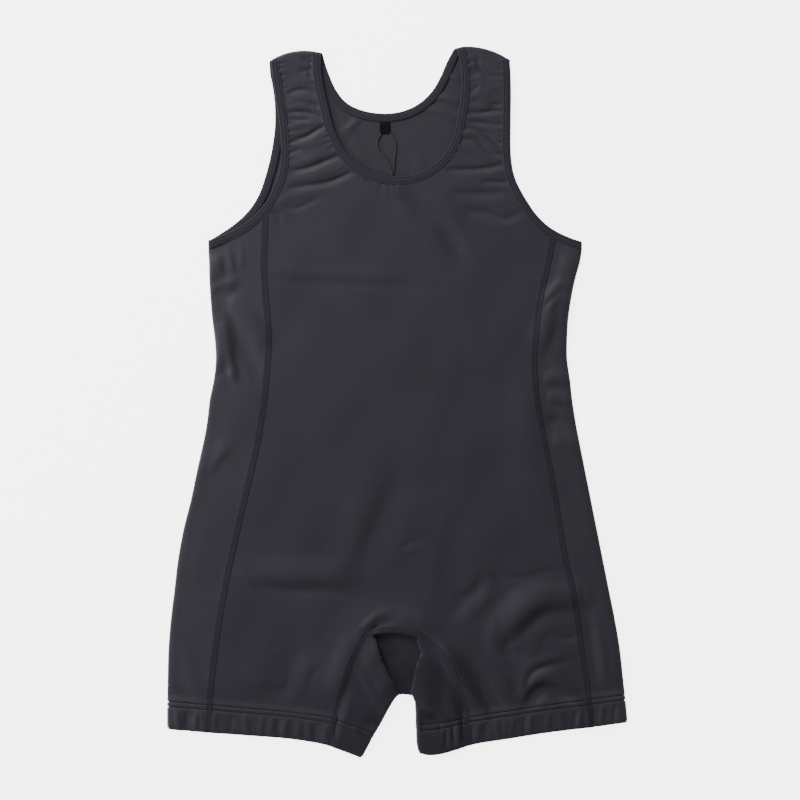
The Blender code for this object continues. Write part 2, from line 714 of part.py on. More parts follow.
def hem_bow(side):
    """The curve of the hem between the side seam and the gusset."""
    inner = abs(GUSSET[0][0]) - 1.0
    outer = abs(HEM[side][1][0]) + 1.0
    line = [point for point in HEM[side] if inner < abs(point[0]) < outer]
    return spaced(smooth_line(line), COLUMNS_FRONT)


def neck_half(line, side):
    """One side of a neck edge, from its lowest point up to the strap's top."""
    low = min(range(len(line)), key=lambda i: line[i][1])
    return line[low::-1] if side < 0 else line[low:]


def half_rows(side, seam, necks, arm_edge, top, level, hem_rise, rows_yoke, rows_strap, yoke, stop):
    """Rows of half a panel from the hem to just below the top of its strap."""
    outer, inner, strap_outer, centre = panel_rails(side, seam, necks, arm_edge)
    outer[0] = (outer[0][0], outer[0][1] + hem_rise)
    inner[0] = (inner[0][0], inner[0][1] + hem_rise)
    bow = hem_bow(side)
    rows = []
    for i, (start, end) in enumerate(zip(outer, inner)):
        near = ease(1 - (start[1] - outer[0][1]) / HEM_REACH)
        double = double_at(i)
        line = row_points(start, end, COLUMNS_FRONT, bow, near)
        rows.append([(x, y, level(x, y) + double, double) for x, y in line])
    outer_run = lengths(strap_outer)
    inner_run = lengths(necks)
    for i, end in enumerate(spaced([centre, necks[0]], rows_yoke)[1:]):
        start = at_length(strap_outer, outer_run, yoke * (i + 1) / rows_yoke)
        line = row_points(start, end, COLUMNS_FRONT)
        rows.append([(x, y, level(x, y), 0.0) for x, y in line])
    strap_length = outer_run[-1] - stop - yoke
    for i in range(1, rows_strap + 1):
        share = i / rows_strap
        start = at_length(strap_outer, outer_run, yoke + strap_length * share)
        end = at_length(necks, inner_run, (inner_run[-1] - stop) * share)
        near = ease(1 - (1 - share) * strap_length / STRAP_TOP_REACH)
        line = row_points(start, end, COLUMNS_FRONT, top, near)
        rows.append([(x, y, level(x, y), 0.0) for x, y in line])
    return rows


def top_bow(side):
    """The curve of a strap's folded top between its two bindings."""
    arm_end = cloth_edge(arm_front[side])[0]
    neck_end = cloth_edge(neck_front)[0 if side < 0 else -1]
    line = cut(strap_top[side], arm_end[0], neck_end[0], 0)
    return spaced(line if side < 0 else line[::-1], COLUMNS_FRONT)


def strap_turn(side, last, top, stop):
    """Rows of a front strap over the shoulder's fold and down behind it to the shoulder seam."""
    arm_edge = cloth_edge(arm_back[side])
    neck_edge = cloth_edge(neck_back)
    if side > 0:
        neck_edge = neck_edge[::-1]
    arm_run = lengths(arm_edge)
    neck_run = lengths(neck_edge)

    def behind(distance):
        start = at_length(arm_edge, arm_run, distance)
        end = at_length(neck_edge, neck_run, distance)
        return row_points(start, end, COLUMNS_FRONT, top, 1.0)

    rows = []
    for k in range(1, STEPS_TURN + 1):
        angle = math.pi * k / STEPS_TURN
        share = k / STEPS_TURN
        out = SHOULDER_RADIUS * math.sin(angle)
        level = WALL + SHOULDER_RADIUS + SHOULDER_RADIUS * math.cos(angle)
        row = []
        for (x, y, _, _), below in zip(last, behind(stop)):
            x, y = blend((x, y), below, share)
            row.append((x, y + out, level, 0.0))
        rows.append(row)
    for k in (1, 2):
        line = behind(stop + (REAR_STRAP_TURN - stop) * k / 2)
        rows.append([(x, y, WALL, 0.0) for x, y in line])
    return rows


def front_panel(seams, material):
    """Two legs, the body on each side of its middle line, and two straps over the shoulders."""
    stop = SHOULDER_RADIUS + WALL
    grids = []
    for side in (-1, 1):
        top = top_bow(side)
        rows = half_rows(
            side, seams[side], neck_half(cloth_edge(neck_front), side), cloth_edge(arm_front[side]),
            top, front_level, 0.0, ROWS_YOKE, ROWS_STRAP, YOKE_FRONT, stop)
        last = [(x, y, SHOULDER_LEVEL, 0.0) for x, y, _, _ in rows[-1]]
        rows[-1] = last
        rows += strap_turn(side, last, top, stop)
        grids.append((rows, side > 0))
    return sewn_piece("front_panel", grids, material)


def back_panel(seams, material):
    """The same outline behind, with a higher neck, flat on the surface."""
    grids = []
    for side in (-1, 1):
        rows = half_rows(
            side, seams[side], neck_half(cloth_edge(neck_back), side), cloth_edge(arm_back[side]),
            top_bow(side), lambda x, y: WALL, BACK_HEM_RISE, ROWS_BACK_YOKE, ROWS_BACK_STRAP,
            YOKE_BACK, REAR_STRAP_TURN + SEAM_GAP)
        grids.append((rows, side < 0))
    return sewn_piece("back_panel", grids, material)


def folded_row(front, rear, roll, midway, double, reach):
    """One section of a piece that folds over an edge: front path, roll, and rear path."""
    run = lengths(front)
    rear_run = lengths(rear)
    floor = WALL + double
    radius = max((roll - floor) / 2, LEAST_RADIUS)
    top = floor + 2 * radius
    stop = run[-1] - floor - radius
    result = []
    for i in range(len(front)):
        share = i / (len(front) - 1)
        x, y = at_length(front, run, stop * share)
        near = ease(1 - (stop - stop * share) / min(reach, stop))
        level = front_level(x, y) + double
        level += (top - level) * near + midway * math.sin(math.pi * share) ** 2 * (1 - near)
        result.append((x, y, level, double))
    corner = result[-1]
    length = math.dist(front[-1], front[-2])
    way = ((front[-1][0] - front[-2][0]) / length, (front[-1][1] - front[-2][1]) / length)
    for k in range(1, COLUMNS_ROLL + 1):
        angle = math.pi * k / COLUMNS_ROLL
        out = radius * math.sin(angle)
        level = floor + radius + radius * math.cos(angle)
        result.append((corner[0] + way[0] * out, corner[1] + way[1] * out, level, double))
    start = floor + radius
    for i in range(1, len(rear)):
        x, y = at_length(rear, rear_run, start + (rear_run[-1] - start) * i / (len(rear) - 1))
        result.append((x, y, floor, double))
    return result


def side_panel(side, seam, rear, material):
    """A side panel, folded round the edge of the garment."""
    fold = fold_stations(side, seam)
    seam = moved(seam, -side * SEAM_GAP / 2)
    rear = moved(rear, -side * SEAM_GAP / 2)
    front_edge = [point for point in cloth_edge(arm_front[side]) if abs(point[0]) > abs(seam[-1][0])]
    front_edge.sort(key=lambda point: abs(point[0]))
    front_edge = [(x, y - SEAM_GAP / 2) for x, y in [seam[-1]] + front_edge]
    rear_edge = [point for point in cloth_edge(arm_back[side]) if abs(point[0]) > abs(rear[-1][0])]
    rear_edge.sort(key=lambda point: -abs(point[0]))
    top = spaced(front_edge, COLUMNS_SIDE)
    rear_top = spaced(rear_edge + [rear[-1]], COLUMNS_REAR)
    rows = []
    for i, (start, edge, back) in enumerate(zip(seam, fold, rear)):
        near = ease(1 - (seam[-1][1] - start[1]) / UNDERARM_REACH)
        double = double_at(i)
        front = row_points(start, edge, COLUMNS_SIDE, top, near)
        behind = row_points(edge, back, COLUMNS_REAR, rear_top, near)
        roll = roll_level(edge[1], side) + double
        rows.append(folded_row(front, behind, roll, 0.0, double, ROLL_REACH))
    name = "side_panel_left" if side < 0 else "side_panel_right"
    return sewn_piece(name, [(rows, side < 0)], material)


def gusset(material):
    """One strip from hem to hem over the crotch, folded along the inner legs."""
    stations = crotch_stations(-1)[:-1] + crotch_stations(1)[::-1]
    seam = moved([point[:2] for point in stations], -SEAM_GAP / 2)
    rows = []
    for i, (start, (_, _, x, y, midway, lift)) in enumerate(zip(seam, stations)):
        double = double_at(min(i, len(stations) - 1 - i))
        front = row_points(start, (x, y), COLUMNS_SIDE)
        behind = row_points((x, y), start, 2)
        rows.append(folded_row(front, behind, REST_LEVEL + lift + double, midway, double, GUSSET_REACH))
    return sewn_piece("gusset", [(rows, False)], material)


def label(material):
    """A plain woven label on the back panel, just under the neck binding."""
    form = bmesh.new()
    bmesh.ops.create_cube(form, size=1.0)
    centre = Vector((*LABEL_PLACE, REST_LEVEL + LABEL_SIZE[2] / 2))
    for corner in form.verts:
        corner.co = Vector([(centre[i] + corner.co[i] * LABEL_SIZE[i]) * MM for i in range(3)])
    return place("label", form, material)


def hanging_loop(material):
    """A thin cord in a loop on the back panel, from the label down to the front neck."""
    wire = bpy.data.curves.new("hanging_loop", "CURVE")
    wire.dimensions = "3D"
    wire.bevel_depth = LOOP_RADIUS * MM
    wire.bevel_resolution = 2
    wire.use_fill_caps = True
    line = spaced(smooth_line(HANGING_LOOP), LOOP_PARTS)
    path = wire.splines.new("POLY")
    path.points.add(LOOP_PARTS)
    for point, (x, y) in zip(path.points, line):
        point.co = (x * MM, y * MM, (REST_LEVEL + LOOP_RADIUS) * MM, 1.0)
    wire.materials.append(material)
    garment.objects.link(bpy.data.objects.new("hanging_loop", wire))


for thing in list(bpy.data.objects):
    bpy.data.objects.remove(thing, do_unlink=True)
garment = bpy.data.collections.new("weightlifting_singlet")
bpy.context.scene.collection.children.link(garment)

knit = finish("charcoal knit", 0.036, 0.035, 0.044, 0.62)
side_knit = finish("charcoal knit, sides", 0.038, 0.037, 0.046, 0.60)
elastic = finish("elastic binding", 0.030, 0.029, 0.036, 0.66)
woven = finish("woven label", 0.012, 0.012, 0.014, 0.75)
cord = finish("loop cord", 0.020, 0.020, 0.024, 0.70)

seams = {side: seam_stations(side) for side in (-1, 1)}
rear_seams = {side: rear_stations(seams[side], side) for side in (-1, 1)}
front_panel(seams, knit)
back_panel(rear_seams, knit)
for side in (-1, 1):
    side_panel(side, seams[side], rear_seams[side], side_knit)
gusset(knit)
binding("neck_binding", neck_front, neck_back, BAND_LIFT, elastic)
binding("armhole_binding_left", arm_front[-1], arm_back[-1], STRAP_LIFT, elastic)
binding("armhole_binding_right", arm_front[1], arm_back[1], STRAP_LIFT, elastic)
label(woven)
hanging_loop(cord)
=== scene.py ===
# %% [markdown]
# # A weightlifting singlet, laid flat
#
# The garment lies on its back on a pale floor. Its solid model is loaded first, as a fixed frame:
# every piece below lies where a solid lies, takes its place in the picture, and is a thin shell of
# cloth on its form. The tables are in millimetres. X runs across the garment, Y towards the neck
# and Z up from the floor.

# %% Load the frame
import json
import math

import bmesh
import bpy
import numpy as np
from mathutils import Matrix, Vector

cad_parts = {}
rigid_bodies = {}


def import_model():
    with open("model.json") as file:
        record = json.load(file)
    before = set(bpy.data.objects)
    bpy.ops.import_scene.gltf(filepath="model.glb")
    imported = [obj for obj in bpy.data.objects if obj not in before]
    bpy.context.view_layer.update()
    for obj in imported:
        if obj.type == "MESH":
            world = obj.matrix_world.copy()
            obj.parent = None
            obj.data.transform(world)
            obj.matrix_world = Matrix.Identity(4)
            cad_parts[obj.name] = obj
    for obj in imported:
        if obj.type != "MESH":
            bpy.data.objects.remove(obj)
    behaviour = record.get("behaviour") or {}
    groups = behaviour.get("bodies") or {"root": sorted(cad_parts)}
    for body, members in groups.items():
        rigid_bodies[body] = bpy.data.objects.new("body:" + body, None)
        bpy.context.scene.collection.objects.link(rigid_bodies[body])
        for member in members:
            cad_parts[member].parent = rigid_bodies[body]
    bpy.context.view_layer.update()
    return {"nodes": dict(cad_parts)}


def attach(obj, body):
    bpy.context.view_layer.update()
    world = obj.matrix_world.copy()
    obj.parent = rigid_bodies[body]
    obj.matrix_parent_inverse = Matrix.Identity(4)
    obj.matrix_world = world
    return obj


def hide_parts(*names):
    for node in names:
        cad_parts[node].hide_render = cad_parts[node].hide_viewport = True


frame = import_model()
MM = 0.001
print("solids in the frame:", len(frame["nodes"]))

# %% [markdown]
# ## Camera, light and floor
#
# The photograph looks straight down, so the camera hangs over the middle of the garment with a long
# lens, which keeps the edges from leaning. Dark stretch cloth shows its folds only through its soft
# gloss, so one broad panel of light comes in from the upper left, and a weaker one, low on the
# left, draws out the upright folds. A pale sky fills the shadows, and the floor glows a little so
# that it stays as pale as a studio backdrop.

# %% Camera
VIEW_WIDTH = 0.88
CAMERA_HEIGHT = 3.0
VIEW_CENTRE = (0.0022, 0.0019)
SENSOR = 36.0
lens = bpy.data.cameras.new("overhead")
lens.sensor_width = SENSOR
lens.lens = SENSOR * CAMERA_HEIGHT / VIEW_WIDTH
camera = bpy.data.objects.new("overhead", lens)
camera.location = (*VIEW_CENTRE, CAMERA_HEIGHT)
bpy.context.scene.collection.objects.link(camera)
bpy.context.scene.camera = camera
print("lens:", round(lens.lens, 1), "mm")


# %% Lights
SKY_STRENGTH = 0.33


def light_panel(name, place, target, size, watts, tint):
    """A square panel of light that faces a point."""
    lamp = bpy.data.lights.new(name, "AREA")
    lamp.shape = "SQUARE"
    lamp.size = size
    lamp.energy = watts
    lamp.color = tint
    holder = bpy.data.objects.new(name, lamp)
    holder.location = place
    holder.rotation_euler = (Vector(target) - Vector(place)).to_track_quat("-Z", "Y").to_euler()
    bpy.context.scene.collection.objects.link(holder)


light_panel("key", (-1.05, 1.68, 1.15), (0.0, 0.1, 0.0), 1.0, 57.0, (1.0, 0.97, 0.98))
light_panel("side", (-2.15, -0.1, 0.86), (0.0, 0.0, 0.0), 0.8, 38.0, (0.97, 0.96, 1.0))
sky = bpy.data.worlds.new("studio")
sky.use_nodes = True
backdrop = sky.node_tree.nodes["Background"]
backdrop.inputs["Color"].default_value = (0.95, 0.96, 1.0, 1.0)
backdrop.inputs["Strength"].default_value = SKY_STRENGTH
bpy.context.scene.world = sky
print("lights: 2 panels and a pale sky")

# %% Floor
FLOOR_LEVEL = -0.6
FLOOR_GLOW = 4.5
form = bmesh.new()
bmesh.ops.create_grid(form, x_segments=1, y_segments=1, size=4.0)
bmesh.ops.translate(form, verts=form.verts, vec=(0.0, 0.0, FLOOR_LEVEL * MM))
mesh = bpy.data.meshes.new("floor")
form.to_mesh(mesh)
form.free()
floor = bpy.data.objects.new("floor", mesh)
bpy.context.scene.collection.objects.link(floor)
paint = bpy.data.materials.new("pale floor")
paint.use_nodes = True
floor_surface = paint.node_tree.nodes["Principled BSDF"]
floor_surface.inputs["Base Color"].default_value = (0.92, 0.92, 0.93, 1.0)
floor_surface.inputs["Roughness"].default_value = 0.9
floor_surface.inputs["Emission Color"].default_value = (1.0, 1.0, 1.0, 1.0)
floor_surface.inputs["Emission Strength"].default_value = FLOOR_GLOW
mesh.materials.append(paint)
print("floor:", floor.name)

# %% [markdown]
# ## The pattern
#
# A garment is drawn as lines before it is cut: its openings, its side seams, the folded sides, the
# hems and the gusset between the legs. Each line is a short table of points, and a smooth curve is
# drawn through them. Where there is one of each, the left side has the key -1 and the right side
# the key 1.

# %% Sizes of the cloth
WALL = 1.0
HEM_DEPTH = 31.0
HEM_STITCHES = (24.5, 30.0)
BAND_WIDTH = 9.5
BAND_THICK = 2.2
BAND_LIFT = 2.4
STRAP_LIFT = 3.6
SHOULDER_LIFT = 4.3
REST_LEVEL = 1.3
LOFT = 1.8
print("cloth", WALL, "mm, hem", HEM_DEPTH, "mm, binding", BAND_WIDTH, "mm")

# %% Neck and armhole edges: x, y
NECK_FRONT = (
    (-84.7, 383.6), (-84.4, 364.9), (-82.0, 347.3), (-77.6, 328.6), (-72.6, 307.7),
    (-66.6, 291.2), (-57.2, 274.7), (-45.1, 261.5), (-29.7, 252.7), (-6.6, 247.8),
    (15.4, 249.4), (33.0, 256.6), (47.3, 268.1), (57.2, 282.4), (62.7, 298.9),
    (66.6, 318.7), (69.3, 340.7), (69.3, 362.7), (67.1, 378.1), (63.8, 388.0),
)
NECK_BACK = (
    (-83.1, 383.6), (-79.2, 369.3), (-74.8, 357.2), (-68.2, 342.9), (-58.3, 330.3),
    (-44.0, 322.0), (-25.3, 317.6), (-6.6, 317.3), (11.0, 321.5), (26.4, 330.3),
    (38.5, 342.9), (47.3, 358.3), (53.4, 372.6), (61.6, 388.0),
)
ARM_LEFT_FRONT = (
    (-139.7, 374.8), (-138.1, 359.4), (-135.3, 340.7), (-132.6, 320.9), (-129.8, 301.1),
    (-128.7, 281.3), (-129.2, 261.5), (-133.7, 242.8), (-141.9, 225.2), (-151.8, 210.9),
    (-163.9, 199.4), (-178.2, 190.0), (-193.6, 182.9), (-208.5, 176.6),
)
ARM_LEFT_BACK = (
    (-141.4, 374.8), (-140.8, 361.6), (-137.5, 344.0), (-135.5, 326.4), (-135.3, 304.4),
    (-137.0, 287.9), (-140.2, 269.2), (-144.7, 251.6), (-150.7, 232.9), (-157.9, 218.6),
    (-168.3, 205.4), (-181.5, 193.9), (-194.7, 185.1), (-208.5, 176.6),
)
ARM_RIGHT_FRONT = (
    (122.7, 375.9), (123.8, 359.4), (124.3, 337.4), (124.0, 309.9), (123.8, 282.4),
    (124.9, 263.7), (128.2, 247.2), (134.8, 232.4), (143.0, 218.6), (151.8, 206.0),
    (163.4, 194.4), (176.0, 186.2), (189.2, 180.2), (202.4, 175.6),
)
ARM_RIGHT_BACK = (
    (122.1, 375.9), (122.1, 359.4), (121.0, 337.4), (119.9, 309.9), (119.9, 282.4),
    (121.0, 263.7), (124.3, 247.2), (130.4, 232.9), (138.6, 218.6), (148.5, 205.4),
    (160.6, 193.3), (173.8, 184.5), (188.1, 179.0), (202.4, 175.6),
)
print("points on the front neck:", len(NECK_FRONT))

# %% Folded tops of the straps: x, y
STRAP_TOP_LEFT = (
    (-141.4, 373.7), (-132.0, 379.2), (-121.0, 383.6), (-107.8, 385.8), (-94.6, 385.3), (-81.4, 382.5),
)
STRAP_TOP_RIGHT = (
    (122.7, 374.8), (107.8, 383.6), (92.4, 389.1), (79.2, 391.3), (66.0, 390.8), (57.2, 387.8),
)
print("points on the folded tops:", len(STRAP_TOP_LEFT), "and", len(STRAP_TOP_RIGHT))

# %% Levels down the body: y, left fold, left seam, right seam, right fold
SECTIONS = (
    (172.4, -209.0, -147.2, 168.6, 203.0),
    (153.7, -207.8, -147.7, 165.0, 200.2),
    (133.9, -207.3, -147.1, 160.3, 194.7),
    (111.9, -206.0, -145.5, 155.9, 190.3),
    (89.9, -204.1, -143.4, 152.5, 187.2),
    (67.9, -201.3, -142.6, 150.4, 186.0),
    (45.9, -200.2, -143.4, 149.2, 186.1),
    (23.9, -202.4, -145.4, 150.2, 189.2),
    (1.9, -207.0, -147.4, 152.2, 191.7),
    (-20.1, -209.6, -150.7, 155.8, 195.0),
    (-42.1, -213.4, -154.3, 159.9, 199.1),
    (-75.1, -220.8, -161.4, 166.7, 205.7),
    (-108.1, -227.7, -169.1, 172.5, 212.3),
    (-141.1, -236.0, -176.9, 177.8, 218.9),
    (-174.1, -242.0, -184.3, 183.7, 225.5),
    (-207.1, -245.9, -190.9, 191.4, 232.1),
    (-240.1, -249.9, -196.7, 196.9, 238.7),
    (-273.1, -252.5, -201.3, 201.3, 244.2),
    (-306.1, -253.3, -205.2, 206.8, 247.8),
    (-333.6, -253.8, -207.6, 209.8, 250.8),
    (-363.0, -253.8, -209.0, 211.8, 253.4),
)
print("levels of the body:", len(SECTIONS))

# %% Hem edges from the outer fold to the inner fold: x, y
HEM_LEFT = (
    (-253.8, -359.4), (-209.0, -363.3), (-162.8, -366.6), (-121.0, -369.9), (-91.3, -374.3),
    (-74.2, -378.1), (-55.0, -384.7), (-39.6, -391.3),
)
HEM_RIGHT = (
    (253.4, -351.7), (211.8, -357.6), (182.6, -361.1), (150.7, -365.5), (124.3, -369.9),
    (95.7, -374.3), (77.6, -377.6), (60.5, -383.1), (45.1, -387.3), (31.9, -388.0), (22.6, -384.7),
)
HEM = {-1: HEM_LEFT, 1: HEM_RIGHT}
print("points on the hems:", len(HEM_LEFT), "and", len(HEM_RIGHT))

# %% Gusset over the crotch: seam x, seam y, fold x, fold y
GUSSET = (
    (-74.2, -378.1, -39.6, -391.3), (-71.5, -352.3, -27.0, -367.7), (-66.6, -332.5, -18.7, -353.4),
    (-61.1, -312.7, -11.6, -340.2), (-54.5, -291.8, -6.6, -331.4), (-45.7, -272.0, -3.0, -325.9),
    (-35.2, -255.5, 0.2, -322.8), (-24.0, -251.4, 2.8, -322.0), (-12.0, -250.2, 6.0, -321.8),
    (1.1, -250.0, 9.5, -322.0), (13.0, -252.0, 13.0, -322.6), (23.0, -255.4, 16.4, -323.5),
    (32.5, -262.1, 19.2, -325.6), (41.8, -270.3, 19.0, -332.4), (51.2, -281.9, 19.2, -341.3),
    (60.5, -298.4, 19.2, -352.3), (68.2, -319.3, 19.8, -363.3), (74.8, -345.7, 20.4, -374.3),
    (77.6, -377.6, 22.6, -384.7),
)
GUSSET_CORNER_LEFT = 6
GUSSET_CENTRE = 9
GUSSET_CORNER_RIGHT = 12
print("stations of the gusset:", len(GUSSET))

# %% [markdown]
# ## Lines
#
# A few small helpers draw the smooth curves, measure along them and find places at a distance.
# Working on whole lines of points at once keeps the script fast although the cloth has many
# thousand points.


# %% Line helpers
def ease(share):
    """0 to 1 with soft ends."""
    share = np.clip(share, 0.0, 1.0)
    return share * share * (3.0 - 2.0 * share)


def smooth_line(table, parts=10):
    """A smooth curve through the points of a table."""
    points = np.array(table, dtype=float)
    start, end = points[:-1], points[1:]
    before = np.vstack([points[:1], points[:-2]])
    after = np.vstack([points[2:], points[-1:]])
    t = np.arange(parts)[None, :, None] / parts
    start, end, before, after = (part[:, None, :] for part in (start, end, before, after))
    bend = 2 * before - 5 * start + 4 * end - after
    twist = 3 * start - before - 3 * end + after
    curve = 0.5 * (2 * start + (end - before) * t + bend * t ** 2 + twist * t ** 3)
    return np.vstack([curve.reshape(-1, points.shape[1]), points[-1:]])


def run_along(line):
    """Distance from the start of a line to each of its points, seen from above."""
    steps = np.diff(line[:, :2], axis=0)
    return np.concatenate([[0.0], np.cumsum(np.hypot(steps[:, 0], steps[:, 1]))])


def at(line, marks):
    """The points of a line at distances from its start."""
    run = run_along(line)
    return np.column_stack([np.interp(marks, run, column) for column in line.T])


def spaced(line, parts):
    """The line again in evenly long parts."""
    return at(line, np.linspace(0.0, run_along(line)[-1], parts + 1))


def between(line, low, high):
    """The stretch of a rising line between two levels y."""
    line = line[np.argsort(line[:, 1])]
    levels = np.array([low, high])
    ends = np.column_stack([np.interp(levels, line[:, 1], column) for column in line.T])
    inside = line[(line[:, 1] > low) & (line[:, 1] < high)]
    return np.vstack([ends[:1], inside, ends[1:]])


def near(line, x, y):
    """Distance of each place from a line, and the share of the line where it is nearest."""
    best = np.full(x.shape, 1e9)
    share = np.zeros(x.shape)
    count = len(line) - 1
    for i in range(count):
        (ax, ay), (bx, by) = line[i][:2], line[i + 1][:2]
        dx, dy = bx - ax, by - ay
        t = np.clip(((x - ax) * dx + (y - ay) * dy) / (dx * dx + dy * dy), 0.0, 1.0)
        distance = np.hypot(x - ax - dx * t, y - ay - dy * t)
        closer = distance < best
        best = np.where(closer, distance, best)
        share = np.where(closer, (i + t) / count, share)
    return best, share


print("a smooth hem has", len(smooth_line(HEM_LEFT)), "points")


# %% Opening edges with the way into the cloth
EDGE_PARTS = 200
TUCK = 2.0
TURN_REACH = 24.0
NECK_WAYS = ((-0.98, 0.18), (0.96, 0.27))
ARM_WAYS = {-1: ((0.86, 0.50), (0.0, -1.0)), 1: ((-0.86, 0.50), (0.0, -1.0))}


def opening_edge(table, side, ways):
    """Points of an opening edge, each with the way into the cloth, square to the folds at its ends."""
    line = spaced(smooth_line(table), EDGE_PARTS)
    run = run_along(line)
    along = np.gradient(line, axis=0)
    way = np.column_stack([-along[:, 1], along[:, 0]]) * side
    way /= np.linalg.norm(way, axis=1)[:, None]
    way = ways[0] + (way - ways[0]) * ease(run / TURN_REACH)[:, None]
    way = ways[1] + (way - ways[1]) * ease((run[-1] - run) / TURN_REACH)[:, None]
    way /= np.linalg.norm(way, axis=1)[:, None]
    return np.hstack([line, way])


def armholes(left, right):
    """The opening edges of both armholes, by side."""
    return {-1: opening_edge(left, 1, ARM_WAYS[-1]), 1: opening_edge(right, -1, ARM_WAYS[1])}


def cloth_edge(edge):
    """Where the cloth stops, tucked a little under its binding."""
    return edge[:, :2] + edge[:, 2:] * (BAND_WIDTH - TUCK)


neck_front = opening_edge(NECK_FRONT, -1, NECK_WAYS)
neck_back = opening_edge(NECK_BACK, -1, NECK_WAYS)
arm_front = armholes(ARM_LEFT_FRONT, ARM_RIGHT_FRONT)
arm_back = armholes(ARM_LEFT_BACK, ARM_RIGHT_BACK)
strap_top = {-1: smooth_line(STRAP_TOP_LEFT), 1: smooth_line(STRAP_TOP_RIGHT)}
print("front neck edge:", round(run_along(neck_front)[-1]), "mm")

# %% [markdown]
# ## How high the cloth lies
#
# Real folds start where something pulls: the tight bindings gather the straps, the side seams drag
# the panels inwards, and the legs buckle where they were pressed flat. Each fold is one row of a
# table with its half width, its height (below zero for a trough) and the line that it follows, so
# no two are alike. A cloth simulation would place them anywhere; here they lie where the photograph
# has them. Most troughs on the straps have a low ridge beside them, which catches the light.

